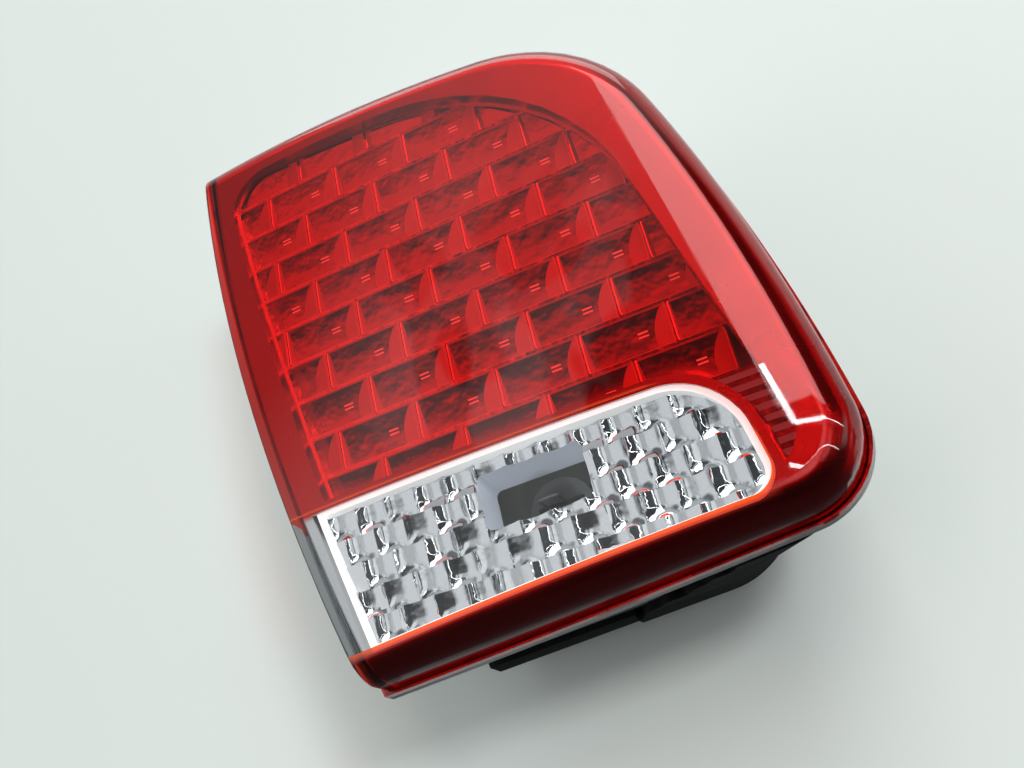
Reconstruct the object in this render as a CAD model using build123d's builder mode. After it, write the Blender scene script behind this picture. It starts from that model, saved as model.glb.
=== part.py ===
from build123d import *

import os
from math import hypot

# Tail light cluster of a car's boot lid, left-hand side, in millimetres.
# X points right as seen from behind the car, Y into the car and Z up.  The origin is the middle of the
# four mounting studs, on the plane where their collars meet the car's body.

# Lens outline: corners of the lens wall, bulge of its sides and radii of its two round corners
outline_top_left = (-94.0, 104.0)
outline_top_right = (56.0, 87.0)
outline_bottom_right = (94.0, -87.5)
outline_bottom_left = (-58.0, -97.5)
outline_top_bulge = 3.5
outline_right_bulge = 6.5
outline_bottom_bulge = 0.8
outline_left_bulge = 5.5
outline_top_right_radius = 62.0
outline_bottom_right_radius = 22.0

# Lens
lens_front = -80.0
lens_rear = -54.0
crown_radius = 900.0
lens_wall = 2.6
shoulder_radius = 8.0
flange_width = 1.5
flange_thickness = 2.5

# Reversing window: edge of the clear shot on the face of the lens
window_top_left = (-64.0, -45.5)
window_top_right = (63.0, -46.5)
window_bottom_right = (68.5, -83.0)
window_bottom_left = (-54.0, -89.5)
window_top_right_radius = 22.0
window_bottom_right_radius = 7.0

# Brick field: the opening that shows the bricks
field_top_left = (-83.5, 92.0)
field_top_right = (42.0, 79.0)
field_bottom_right = (79.5, -78.0)
field_bottom_left = (-51.0, -80.0)
field_top_bulge = 2.8
field_left_bulge = 2.0
field_top_left_radius = 14.0
field_top_right_radius = 85.0
field_bottom_right_radius = 12.0
field_land = 3.0

# Bezel under the lens
trim_gap = 1.0
bezel_wall = 1.8
recess_wall = 1.5
window_clearance = 0.4

# Brick reflector
brick_front = -62.0
brick_plate = 12.0
brick_pitch = 27.0
row_pitch = 14.0
brick_wall = 1.6
brick_rows = 10
first_row_top = 94.0
first_row_start = -95.0
bricks_in_row = 8
pocket_top_depth = 3.5
pocket_bottom_depth = 8.2
pocket_sag = 1.6
pocket_end_angle = 37.0
pocket_start_angle = 6.0
pocket_lead = 1.0
field_rim = 0.8
reflector_rim = 2.4
rib_pitch = 7.0
rib_wall = 2.2
rib_depth = 7.0
ear_radius = 4.5
ear_thickness = 5.0
ear_heights = (28.0, -22.0)
ear_corner_left = 20.0
ear_corner_up = 3.0
ear_reach = 9.0

# LED board
board_thickness = 1.6
board_grow = 0.9
led_length = 3.5
led_height = 2.8
led_thickness = 1.9
led_across = 2.8
led_up = 2.0
led_margin = 6.0
led_clearance = 0.6
stake_radius = 1.4
stake_clearance = 0.15
stake_points = ((-62.0, 66.0), (-30.0, 24.0), (10.0, 66.0), (48.0, 10.0))
stake_proud = 1.2

# Screws of the brick reflector
screw_radius = 1.5
screw_length = 14.0
screw_head_radius = 3.2
screw_head_height = 2.2
screw_clearance = 0.1

# Reversing reflector
reverse_back = -46.0
reverse_gap = 0.1
reverse_left_gap = 1.1
reverse_floor = -53.0
band_top = 2.0
band_right = 3.0
band_bottom = 1.2
band_left = 4.0
flute_rows = 5
flute_count = 14
flute_sag = 2.6
flute_ridge = -68.0
flute_bow = 0.3
flute_lean = 2.0
bulb_opening_length = 32.0
bulb_opening_height = 16.6
bulb_opening_radius = 2.0

# Reversing bulb and its holder
bulb_x = 4.0
bulb_z = -59.3
bulb_radius = 7.6
bulb_tip = -61.0
bulb_shoulder = -38.0
bulb_wall = 0.8
bulb_pinch_length = 14.0
bulb_pinch_width = 14.0
bulb_pinch_thickness = 5.0
pinch_clearance = 0.2
filament_radius = 0.5
filament_span = 6.0
filament_reach = 13.0
holder_radius = 10.0
holder_front = -33.0
holder_flange_radius = 15.5
holder_flange = 3.0
holder_grip_length = 14.0
holder_grip_width = 11.0
grip_corner = 2.0
grip_wall = 1.5
socket_depth = 11.0
holder_clearance = 0.4
lug_reach = 2.4
lug_width = 6.0
lug_thickness = 2.5
lug_clearance = 0.3
lug_count = 3
seal_radius = 13.6
seal_width = 1.4
seal_thickness = 1.6
terminal_width = 6.3
terminal_thickness = 0.8
terminal_length = 5.5
terminal_spacing = 4.0

# Housing
rim_thickness = 3.0
housing_wall = 2.5
rim_inner = 6.4
back_outer = -6.0
back_top_left = (-76.0, 88.0)
back_top_right = (44.0, 76.0)
back_bottom_right = (66.0, -81.0)
back_bottom_left = (-44.0, -85.5)
back_top_right_radius = 40.0
back_bottom_right_radius = 26.0
tub_inset = 2.0
post_radius = 4.0
board_posts = ((-66.0, 52.0), (-50.0, 4.0))
reverse_posts = ((-40.0, -66.0), (50.0, -64.0))
reverse_pin_radius = 1.5
reverse_pin_length = 5.0
rib_thickness = 2.4
rib_height = 2.5
locator_x = 0.0
locator_z = 62.0
locator_radius = 4.0
locator_length = 12.0
locator_chamfer = 1.0

# Mounting studs
stud_spacing_x = 56.0
stud_spacing_z = 92.0
stud_radius = 3.0
stud_length = 18.0
stud_grip = 13.0
stud_collar_radius = 7.0
stud_collar = 2.5
stud_chamfer = 0.8
stud_clearance = 0.1
boss_radius = 8.0
boss_wall = 4.0

# Seals
groove_depth = 1.5
groove_outer = -0.4
groove_inner = 1.8
groove_clearance = 0.1
gasket_width = 8.0
gasket_proud = 4.0
gasket_overhang = 2.0
gasket_edge = 1.5
pad_thickness = 3.0
pad_front = -40.0
pad_left = 6.0
pad_full = 46.0
pad_top = -52.0

# LED connector
connector_x = 0.0
connector_z = 2.0
connector_length = 22.0
connector_height = 12.0
connector_wall = 1.5
connector_depth = 13.0
connector_floor = 3.0
connector_flange = 2.5
connector_flange_thickness = 2.0
connector_clearance = 0.3
pin_count = 4
pin_pitch = 4.4
pin_size = 1.2
pin_length = 6.0
pin_tail = 5.0

# Breather
vent_x = -42.0
vent_z = 12.0
vent_radius = 7.0
vent_skirt = 4.5
vent_wall = 1.6
spigot_radius = 3.6
spigot_bore = 1.8
spigot_height = 5.5

outline = (outline_top_left, outline_top_right, outline_bottom_right, outline_bottom_left)
outline_bulges = (outline_top_bulge, outline_right_bulge, outline_bottom_bulge, outline_left_bulge)
outline_radii = (0.0, outline_top_right_radius, outline_bottom_right_radius, 0.0)
window = (window_top_left, window_top_right, window_bottom_right, window_bottom_left)
field = (field_top_left, field_top_right, field_bottom_right, field_bottom_left)
field_bulges = (field_top_bulge, 0.0, 0.0, field_left_bulge)
field_radii = (field_top_left_radius, field_top_right_radius, field_bottom_right_radius, 0.0)
back = (back_top_left, back_top_right, back_bottom_right, back_bottom_left)
back_radii = (0.0, back_top_right_radius, back_bottom_right_radius, 0.0)
straight = (0.0, 0.0, 0.0, 0.0)
past_the_edge = outline_bottom_right[0] - outline_top_left[0]
brick_back = brick_front + brick_plate
board_back = brick_back + board_thickness
rim_back = lens_rear + rim_thickness
back_inner = back_outer - housing_wall


def face_plane(y):
    """Drawing plane across the lamp at depth y: its x is X, its y is Z, and it looks towards the lens."""
    return Plane.XZ.offset(-y)


def moved_side(start, end, inset):
    """A side of a clockwise outline, moved inwards by inset."""
    length = hypot(end[0] - start[0], end[1] - start[1])
    across = (end[1] - start[1]) / length * inset
    up = -(end[0] - start[0]) / length * inset
    return (start[0] + across, start[1] + up), (end[0] + across, end[1] + up)


def crossing(first, second):
    """The point where two sides, made longer, cross."""
    (ax, ay), (bx, by) = first
    (cx, cy), (dx, dy) = second
    turn = (bx - ax) * (dy - cy) - (by - ay) * (dx - cx)
    along = ((cx - ax) * (dy - cy) - (cy - ay) * (dx - cx)) / turn
    return ax + along * (bx - ax), ay + along * (by - ay)


def inset_corners(corners, insets):
    """Corners of a clockwise four-sided outline, its top, right, bottom and left side moved inwards."""
    sides = []
    for index, inset in enumerate(insets):
        sides.append(moved_side(corners[index], corners[(index + 1) % 4], inset))
    return [crossing(sides[index - 1], sides[index]) for index in range(4)]


def inside(corners, point, margin):
    """True where a point lies in a clockwise outline, at least margin from its straight sides."""
    for index, start in enumerate(corners):
        end = corners[(index + 1) % 4]
        length = hypot(end[0] - start[0], end[1] - start[1])
        right_of = (end[1] - start[1]) * (point[0] - start[0]) - (end[0] - start[0]) * (point[1] - start[1])
        if right_of / length < margin:
            return False
    return True


def four_sided(corners, bulges, radii, insets):
    """A face with four bulged sides and rounded corners, with its sides moved inwards by insets."""
    moved = inset_corners(corners, insets)
    with BuildSketch() as face:
        with BuildLine():
            for index, bulge in enumerate(bulges):
                start = moved[index]
                end = moved[(index + 1) % 4]
                if bulge:
                    SagittaArc(start, end, bulge)
                else:
                    Line(start, end)
        make_face()
        for corner, radius in zip(moved, radii):
            if radius:
                fillet(face.vertices().sort_by_distance((corner[0], corner[1], 0))[0], radius)
    return face.sketch


def lamp_face(inset):
    """The lamp's outline, moved inwards by the same distance all round."""
    radii = [radius - inset if radius else 0.0 for radius in outline_radii]
    return four_sided(outline, outline_bulges, radii, (inset, inset, inset, inset))


def window_face(insets):
    """The reversing window's outline, with its top, right, bottom and left side moved inwards."""
    radii = (0.0, window_top_right_radius - insets[0], window_bottom_right_radius - insets[2], 0.0)
    return four_sided(window, straight, radii, insets)


def ring_face(outer, inner):
    """The band between two outlines."""
    with BuildSketch() as band:
        add(outer)
        add(inner, mode=Mode.SUBTRACT)
    return band.sketch


def field_face(grow):
    """The brick field, made larger all round, with the reversing window and its land left out of it."""
    radii = [radius + grow if radius else 0.0 for radius in field_radii]
    whole = four_sided(field, field_bulges, radii, (-grow, -grow, -grow, -grow))
    land = field_land - grow
    land_radii = (0.0, window_top_right_radius + land, 0.0, 0.0)
    taken = four_sided(window, straight, land_radii, (-land, -land, -past_the_edge, -past_the_edge))
    return ring_face(whole, taken)


def back_face(inset):
    """Outline of the housing's back, moved inwards."""
    radii = [radius - inset if radius else 0.0 for radius in back_radii]
    return four_sided(back, straight, radii, (inset, inset, inset, inset))


def prism(face, rear, front):
    """A face drawn across the lamp, carried from the plane y = rear forward to y = front."""
    with BuildPart() as block:
        with BuildSketch(face_plane(rear)):
            add(face)
        extrude(amount=rear - front)
    return block.part


def domed_block(inset, rear):
    """The solid inside the lens's outer skin, or inside a skin deeper by inset, back to y = rear."""
    face = lamp_face(inset)
    with BuildPart() as block:
        with BuildSketch(face_plane(rear)):
            add(face)
        extrude(amount=rear - lens_front)
        with Locations((0, lens_front + crown_radius, 0)):
            Sphere(crown_radius - inset, mode=Mode.INTERSECT)
        crown = block.faces().filter_by(GeomType.SPHERE)[0]
        rolled = crown.edges().sort_by(Axis.X)[1:]
        fillet(rolled, shoulder_radius - inset)
    return block.part


os.makedirs("parts", exist_ok=True)

# Lens: one cap in two shots, red round a clear window that runs on to the left edge
lens_skin = domed_block(0, lens_rear)
lens_hollow = domed_block(lens_wall, lens_rear)
flange_face = ring_face(lamp_face(-flange_width), lamp_face(lens_wall))
lens_flange = prism(flange_face, lens_rear, lens_rear - flange_thickness)
window_cut = prism(window_face((0, 0, 0, -past_the_edge)), lens_rear, lens_front)

with BuildPart() as lens_shell:
    add(lens_skin)
    add(lens_hollow, mode=Mode.SUBTRACT)
    add(lens_flange)

with BuildPart() as red_lens:
    add(lens_shell.part)
    add(window_cut, mode=Mode.SUBTRACT)
red_lens.part.label = "red_lens"
export_step(red_lens.part, "parts/red_lens.step")

with BuildPart() as clear_lens:
    add(lens_shell.part)
    add(window_cut, mode=Mode.INTERSECT)
clear_lens.part.label = "clear_lens"
export_step(clear_lens.part, "parts/clear_lens.step")

# Bezel: plated skin under the lens, open at the brick field and the window, with walls down to the bricks
trim_inset = lens_wall + trim_gap
trim_skin = domed_block(trim_inset, reverse_back)
bezel_hollow = domed_block(trim_inset + bezel_wall, reverse_back)
recess_band = prism(ring_face(field_face(recess_wall), field_face(0)), brick_front, lens_front)
field_opening = prism(field_face(0), lens_rear, lens_front)
window_opening = prism(window_face((-window_clearance,) * 4), lens_rear, lens_front)

with BuildPart() as recess:
    add(recess_band)
    add(trim_skin, mode=Mode.INTERSECT)

with BuildPart() as bezel:
    add(trim_skin)
    add(bezel_hollow, mode=Mode.SUBTRACT)
    split(bisect_by=face_plane(lens_rear))
    add(recess.part)
    add(field_opening, mode=Mode.SUBTRACT)
    add(window_opening, mode=Mode.SUBTRACT)
bezel.part.label = "bezel"
export_step(bezel.part, "parts/bezel.step")

# Brick reflector: a plate with pockets in running bond, each deeper at its foot and sloped at its right end
pocket_half = (brick_pitch - brick_wall) / 2
pocket_rise = (row_pitch - brick_wall) / 2


def sloped_end(x, angle, side):
    """Plane of a pocket's end wall, which starts at x on the plate's face and leans inwards going deeper."""
    across = Vector(side, 0, 0).rotate(Axis.Z, side * angle)
    return Plane(origin=(x, brick_front, 0), z_dir=across)


with BuildPart() as pocket:
    with BuildSketch(Plane.YZ.offset(-pocket_half)):
        with BuildLine():
            front_top = (brick_front - pocket_lead, pocket_rise)
            floor_top = (brick_front + pocket_top_depth, pocket_rise)
            floor_foot = (brick_front + pocket_bottom_depth, -pocket_rise)
            front_foot = (brick_front - pocket_lead, -pocket_rise)
            Line(front_top, floor_top)
            SagittaArc(floor_top, floor_foot, pocket_sag)
            Polyline(floor_foot, front_foot, front_top)
        make_face()
    extrude(amount=2 * pocket_half)
    split(bisect_by=sloped_end(pocket_half, pocket_end_angle, 1), keep=Keep.BOTTOM)
    split(bisect_by=sloped_end(-pocket_half, pocket_start_angle, -1), keep=Keep.BOTTOM)

brick_centres = []
for row in range(brick_rows):
    for column in range(bricks_in_row):
        x = first_row_start + (column + (row % 2) / 2) * brick_pitch
        z = first_row_top - (row + 0.5) * row_pitch
        if inside(field, (x, z), -brick_pitch / 2):
            brick_centres.append((x, z))

led_centres = []
window_with_land = inset_corners(window, (-field_land, -field_land, -past_the_edge, -past_the_edge))
for x, z in brick_centres:
    led = (x + led_across, z + led_up)
    hidden = inside(window_with_land, led, -led_margin)
    if inside(field, led, led_margin) and not hidden:
        led_centres.append(led)

rib_top = first_row_top - brick_rows * row_pitch
rib_count = int((rib_top - field_bottom_right[1]) / rib_pitch)
rib_width = field_bottom_right[0] - window_top_right[0]
rib_x = (field_bottom_right[0] + window_top_right[0]) / 2
rib_slots = []
for index in range(rib_count):
    rib_slots.append((rib_x, brick_front, rib_top - (index + 0.5) * rib_pitch))

pocket_bounds = prism(field_face(-field_rim), brick_back, brick_front - pocket_lead)
with BuildPart() as pockets:
    with Locations(*[(x, 0, z) for x, z in brick_centres]):
        add(pocket.part)
    with Locations(*rib_slots):
        Box(rib_width, 2 * rib_depth, rib_pitch - rib_wall)
    add(pocket_bounds, mode=Mode.INTERSECT)


def side_x(corners, z):
    """Where the straight right side of an outline stands at height z."""
    (top_x, top_z), (foot_x, foot_z) = corners[1], corners[2]
    return top_x + (foot_x - top_x) * (top_z - z) / (top_z - foot_z)


ear_points = [(field_top_right[0] - ear_corner_left, field_top_right[1] + ear_corner_up)]
for z in ear_heights:
    ear_points.append(((side_x(field, z) + side_x(outline, z)) / 2, z))

ear_back = brick_front + ear_thickness
reflector_plate = prism(field_face(reflector_rim), brick_back, brick_front)
with BuildPart() as brick_reflector:
    add(reflector_plate)
    add(pockets.part, mode=Mode.SUBTRACT)
    with BuildSketch(face_plane(brick_back)):
        with Locations(*led_centres):
            Rectangle(led_length + 2 * led_clearance, led_height + 2 * led_clearance)
    extrude(amount=brick_plate, mode=Mode.SUBTRACT)
    with BuildSketch(face_plane(ear_back)):
        for ear in ear_points:
            SlotCenterPoint((ear[0] - ear_reach / 2, ear[1] - ear_reach / 4), ear, 2 * ear_radius)
    extrude(amount=ear_thickness)
    with BuildSketch(face_plane(ear_back)):
        with Locations(*ear_points):
            Circle(screw_radius + screw_clearance)
    extrude(amount=ear_thickness, mode=Mode.SUBTRACT)
    with BuildSketch(face_plane(board_back + stake_proud)):
        with Locations(*stake_points):
            Circle(stake_radius)
    extrude(amount=board_thickness + stake_proud)
brick_reflector.part.label = "brick_reflector"
export_step(brick_reflector.part, "parts/brick_reflector.step")

# LED board: hangs on four stakes at the back of the brick reflector
board_face = field_face(board_grow)
with BuildPart() as led_board:
    with BuildSketch(face_plane(board_back)):
        add(board_face)
        with Locations(*stake_points):
            Circle(stake_radius + stake_clearance, mode=Mode.SUBTRACT)
    extrude(amount=board_thickness)
led_board.part.label = "led_board"
export_step(led_board.part, "parts/led_board.step")

with BuildPart() as led_chips:
    with BuildSketch(face_plane(brick_back)):
        with Locations(*led_centres):
            Rectangle(led_length, led_height)
    extrude(amount=led_thickness)
led_chips.part.label = "led_chips"
export_step(led_chips.part, "parts/led_chips.step")

# Screws that hold the ears of the brick reflector to posts of the housing
with BuildPart() as reflector_screws:
    with BuildSketch(face_plane(brick_front)):
        with Locations(*ear_points):
            Circle(screw_head_radius)
    extrude(amount=screw_head_height)
    fillet(reflector_screws.faces().group_by(Axis.Y)[0].edges(), screw_head_height / 3)
    with BuildSketch(face_plane(brick_front + screw_length)):
        with Locations(*ear_points):
            Circle(screw_radius)
    extrude(amount=screw_length)
reflector_screws.part.label = "reflector_screws"
export_step(reflector_screws.part, "parts/reflector_screws.step")

# Reversing reflector: a tray with a plain band round five rows of upright flutes
reverse_insets = (reverse_gap, reverse_gap, reverse_gap, reverse_left_gap)
reverse_face = window_face(reverse_insets)
bands = (band_top, band_right, band_bottom, band_left)
bowl_insets = [gap + band for gap, band in zip(reverse_insets, bands)]
bowl_face = window_face(bowl_insets)
bowl_corners = inset_corners(window, bowl_insets)
reverse_block = prism(reverse_face, reverse_back, lens_front)
bowl = prism(bowl_face, reverse_floor, lens_front)
bowl_left = bowl_corners[0][0]
bowl_right = bowl_corners[2][0]
bowl_top = max(corner[1] for corner in bowl_corners)
bowl_foot = min(corner[1] for corner in bowl_corners)
flute_row_height = (bowl_top - bowl_foot) / flute_rows
flute_pitch = (bowl_right - bowl_left) / (flute_count - 1)


def flute_profile(row):
    """Points of a row's ridges: they bow towards the lens at both ends, and rows step by half a flute."""
    shift = (row % 2) / 2
    ridges = []
    for index in range(flute_count + 1):
        x = bowl_left + (index - shift) * flute_pitch
        from_middle = (2 * x - bowl_left - bowl_right) / (bowl_right - bowl_left)
        ridges.append((x, flute_ridge - flute_bow * from_middle ** 2))
    return ridges


with BuildPart() as flutes:
    for row in range(flute_rows):
        with BuildSketch(Plane.XY.offset(bowl_foot + row * flute_row_height)):
            with BuildLine():
                ridges = flute_profile(row)
                for first, second in zip(ridges, ridges[1:]):
                    SagittaArc(first, second, flute_sag)
                last_foot = (ridges[-1][0], reverse_back)
                first_foot = (ridges[0][0], reverse_back)
                Polyline(ridges[-1], last_foot, first_foot, ridges[0])
            make_face()
        lean = Vector(0, -flute_lean, flute_row_height)
        extrude(amount=lean.length, dir=lean)
    add(bowl, mode=Mode.INTERSECT)

with BuildPart() as reverse_reflector:
    add(reverse_block)
    add(trim_skin, mode=Mode.INTERSECT)
    add(bowl, mode=Mode.SUBTRACT)
    add(flutes.part)
    with BuildSketch(face_plane(reverse_back)):
        with Locations((bulb_x, bulb_z)):
            RectangleRounded(bulb_opening_length, bulb_opening_height, bulb_opening_radius)
    extrude(amount=reverse_back - lens_front, mode=Mode.SUBTRACT)
    with BuildSketch(face_plane(reverse_back + reverse_pin_length)):
        with Locations(*reverse_posts):
            Circle(reverse_pin_radius)
    extrude(amount=reverse_pin_length)
reverse_reflector.part.label = "reverse_reflector"
export_step(reverse_reflector.part, "parts/reverse_reflector.step")

# Reversing bulb: hollow glass with a flat pinched foot, and the filament on its two wires
bulb_plane = Plane(origin=(bulb_x, 0, bulb_z), x_dir=(1, 0, 0), z_dir=(0, 0, 1))
bulb_axis = Axis((bulb_x, 0, bulb_z), (0, 1, 0))
pinch_end = bulb_shoulder + bulb_pinch_length
cavity_end = bulb_shoulder - bulb_wall
with BuildPart() as bulb_glass:
    with BuildSketch(bulb_plane):
        with BuildLine():
            outer_side = (bulb_radius, bulb_tip + bulb_radius)
            RadiusArc((0, bulb_tip), outer_side, -bulb_radius)
            Polyline(outer_side, (bulb_radius, bulb_shoulder), (0, bulb_shoulder), (0, bulb_tip))
        make_face()
    revolve(axis=bulb_axis)
    with BuildSketch(Plane(origin=(bulb_x, pinch_end, bulb_z), x_dir=(1, 0, 0), z_dir=(0, -1, 0))):
        Rectangle(bulb_pinch_width, bulb_pinch_thickness)
    extrude(amount=bulb_pinch_length)
    with BuildSketch(bulb_plane):
        with BuildLine():
            inner_radius = bulb_radius - bulb_wall
            inner_side = (inner_radius, bulb_tip + bulb_radius)
            RadiusArc((0, bulb_tip + bulb_wall), inner_side, -inner_radius)
            Polyline(inner_side, (inner_radius, cavity_end), (0, cavity_end), (0, bulb_tip + bulb_wall))
        make_face()
    revolve(axis=bulb_axis, mode=Mode.SUBTRACT)
bulb_glass.part.label = "bulb_glass"
export_step(bulb_glass.part, "parts/bulb_glass.step")

filament_half = filament_span / 2
filament_top = cavity_end - filament_reach
with BuildPart() as bulb_filament:
    with BuildLine(bulb_plane) as filament_path:
        FilletPolyline(
            (-filament_half, cavity_end),
            (-filament_half, filament_top),
            (filament_half, filament_top),
            (filament_half, cavity_end),
            radius=3 * filament_radius,
        )
    with BuildSketch(Plane(origin=filament_path.line @ 0, z_dir=filament_path.line % 0)):
        Circle(filament_radius)
    sweep(path=filament_path.line)
bulb_filament.part.label = "bulb_filament"
export_step(bulb_filament.part, "parts/bulb_filament.step")

# Bulb holder: slotted front for the bulb, locking lugs, flange on its seal, and a grip with a socket
flange_front = back_outer + seal_thickness
flange_back = flange_front + holder_flange
grip_end = flange_back + holder_grip_length
lug_back = back_inner - lug_clearance
lug_end = holder_radius + lug_reach


def holder_plane(y):
    """Drawing plane across the bulb's axis at depth y, looking towards the lens."""
    return Plane(origin=(bulb_x, y, bulb_z), x_dir=(1, 0, 0), z_dir=(0, -1, 0))


with BuildPart() as bulb_holder:
    with BuildSketch(holder_plane(flange_front)):
        Circle(holder_radius)
    extrude(amount=flange_front - holder_front)
    with BuildSketch(holder_plane(flange_back)):
        Circle(holder_flange_radius)
    extrude(amount=holder_flange)
    with BuildSketch(holder_plane(lug_back)):
        with PolarLocations(lug_end / 2, lug_count):
            Rectangle(lug_end, lug_width)
    extrude(amount=lug_thickness)
    with BuildSketch(holder_plane(grip_end)):
        RectangleRounded(holder_grip_width, 2 * holder_radius, grip_corner)
    extrude(amount=holder_grip_length)
    with BuildSketch(holder_plane(grip_end)):
        Rectangle(holder_grip_width - 2 * grip_wall, 2 * (holder_radius - grip_wall))
    extrude(amount=socket_depth, mode=Mode.SUBTRACT)
    with BuildSketch(holder_plane(pinch_end)):
        slot_width = bulb_pinch_width + 2 * pinch_clearance
        slot_thickness = bulb_pinch_thickness + 2 * pinch_clearance
        Rectangle(slot_width, slot_thickness)
    extrude(amount=pinch_end - holder_front, mode=Mode.SUBTRACT)
bulb_holder.part.label = "bulb_holder"
export_step(bulb_holder.part, "parts/bulb_holder.step")

with BuildPart() as holder_seal:
    with BuildSketch(holder_plane(flange_front)):
        Circle(seal_radius + seal_width / 2)
        Circle(seal_radius - seal_width / 2, mode=Mode.SUBTRACT)
    extrude(amount=seal_thickness)
holder_seal.part.label = "holder_seal"
export_step(holder_seal.part, "parts/holder_seal.step")

terminal_root = grip_end - socket_depth
with BuildPart() as holder_terminals:
    with BuildSketch(holder_plane(terminal_root + terminal_length)):
        with GridLocations(0, terminal_spacing, 1, 2):
            Rectangle(terminal_width, terminal_thickness)
    extrude(amount=terminal_length)
holder_terminals.part.label = "holder_terminals"
export_step(holder_terminals.part, "parts/holder_terminals.step")

# Housing: drafted tub with a welded rim, posts inside, and bosses, ribs and a locating pin on its back
rim_face = ring_face(lamp_face(-flange_width), lamp_face(rim_inner))
groove_face = ring_face(lamp_face(groove_outer), lamp_face(groove_inner))
bead_face = ring_face(lamp_face(groove_outer + groove_clearance), lamp_face(groove_inner - groove_clearance))
tub_front_face = lamp_face(tub_inset)
tub_back_face = back_face(0)
hollow_front_face = lamp_face(tub_inset + housing_wall)
hollow_back_face = back_face(housing_wall)
lens_space = prism(lamp_face(rim_inner), rim_back, lens_front)

with BuildPart() as tub:
    with BuildSketch(face_plane(rim_back)):
        add(tub_front_face)
    with BuildSketch(face_plane(back_outer)):
        add(tub_back_face)
    loft(ruled=True)

with BuildPart() as tub_hollow:
    with BuildSketch(face_plane(rim_back)):
        add(hollow_front_face)
    with BuildSketch(face_plane(back_inner)):
        add(hollow_back_face)
    loft(ruled=True)

with BuildPart() as posts:
    for points, front in ((ear_points, ear_back), (board_posts, board_back), (reverse_posts, reverse_back)):
        with BuildSketch(face_plane(back_inner)):
            with Locations(*points):
                Circle(post_radius)
        extrude(amount=back_inner - front)
    with BuildSketch(face_plane(ear_back)):
        with Locations(*ear_points):
            Circle(screw_radius + screw_clearance)
    extrude(amount=ear_thickness - screw_length - screw_clearance, mode=Mode.SUBTRACT)
    with BuildSketch(face_plane(reverse_back)):
        with Locations(*reverse_posts):
            Circle(reverse_pin_radius + screw_clearance)
    extrude(amount=-reverse_pin_length - screw_clearance, mode=Mode.SUBTRACT)

with BuildPart() as post_bounds:
    add(tub.part)
    add(lens_space)
    add(posts.part, mode=Mode.INTERSECT)

boss_front = -stud_collar - stud_grip - boss_wall
boss_hole = stud_radius + stud_clearance
with BuildPart() as housing:
    add(tub.part)
    add(tub_hollow.part, mode=Mode.SUBTRACT)
    with BuildSketch(face_plane(rim_back)):
        add(rim_face)
    extrude(amount=rim_thickness)
    with BuildSketch(face_plane(lens_rear)):
        add(groove_face)
    extrude(amount=-groove_depth, mode=Mode.SUBTRACT)
    add(post_bounds.part)
    with BuildSketch(face_plane(-stud_collar)):
        with GridLocations(stud_spacing_x, stud_spacing_z, 2, 2):
            Circle(boss_radius)
    extrude(amount=-stud_collar - boss_front)
    with BuildSketch(face_plane(back_outer + rib_height)):
        with GridLocations(stud_spacing_x, 0, 2, 1):
            Rectangle(rib_thickness, stud_spacing_z)
        with Locations((0, stud_spacing_z / 2)):
            Rectangle(stud_spacing_x, rib_thickness)
    extrude(amount=rib_height)
    with BuildSketch(face_plane(0)):
        with Locations((locator_x, locator_z)):
            Circle(boss_radius)
    extrude(amount=-back_outer)
    with BuildSketch(face_plane(locator_length)):
        with Locations((locator_x, locator_z)):
            Circle(locator_radius)
    extrude(amount=locator_length)
    chamfer(housing.faces().sort_by(Axis.Y)[-1].edges(), locator_chamfer)
    with BuildSketch(face_plane(back_outer + spigot_height)):
        with Locations((vent_x, vent_z)):
            Circle(spigot_radius)
    extrude(amount=spigot_height)
    with BuildSketch(face_plane(back_outer + spigot_height)):
        with Locations((vent_x, vent_z)):
            Circle(spigot_bore)
    extrude(amount=spigot_height + housing_wall, mode=Mode.SUBTRACT)
    with BuildSketch(face_plane(-stud_collar)):
        with GridLocations(stud_spacing_x, stud_spacing_z, 2, 2):
            Circle(boss_hole)
    extrude(amount=stud_grip + stud_clearance, mode=Mode.SUBTRACT)
    with BuildSketch(holder_plane(back_outer)):
        Circle(holder_radius + holder_clearance)
        with PolarLocations(lug_end / 2, lug_count, start_angle=180 / lug_count):
            Rectangle(lug_end + 2 * lug_clearance, lug_width + 2 * lug_clearance)
    extrude(amount=housing_wall, mode=Mode.SUBTRACT)
    with BuildSketch(face_plane(back_outer)):
        with Locations((connector_x, connector_z)):
            hole_length = connector_length + 2 * connector_clearance
            Rectangle(hole_length, connector_height + 2 * connector_clearance)
    extrude(amount=housing_wall, mode=Mode.SUBTRACT)
housing.part.label = "housing"
export_step(housing.part, "parts/housing.step")

# Mounting studs: threaded ends behind their collars, grip ends pressed into the bosses
with BuildPart() as mounting_studs:
    with BuildSketch(face_plane(stud_length)):
        with GridLocations(stud_spacing_x, stud_spacing_z, 2, 2):
            Circle(stud_radius)
    extrude(amount=stud_length + stud_collar + stud_grip)
    chamfer(mounting_studs.faces().group_by(Axis.Y)[-1].edges(), stud_chamfer)
    with BuildSketch(face_plane(0)):
        with GridLocations(stud_spacing_x, stud_spacing_z, 2, 2):
            Circle(stud_collar_radius)
    extrude(amount=stud_collar)
mounting_studs.part.label = "mounting_studs"
export_step(mounting_studs.part, "parts/mounting_studs.step")

# Seals: the bead under the lens flange, and the foam between the lamp and the car's body, with a pad that wraps
# the lower right corner of the tub
with BuildPart() as lens_sealant:
    with BuildSketch(face_plane(lens_rear)):
        add(bead_face)
    extrude(amount=-groove_depth)
lens_sealant.part.label = "lens_sealant"
export_step(lens_sealant.part, "parts/lens_sealant.step")

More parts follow.
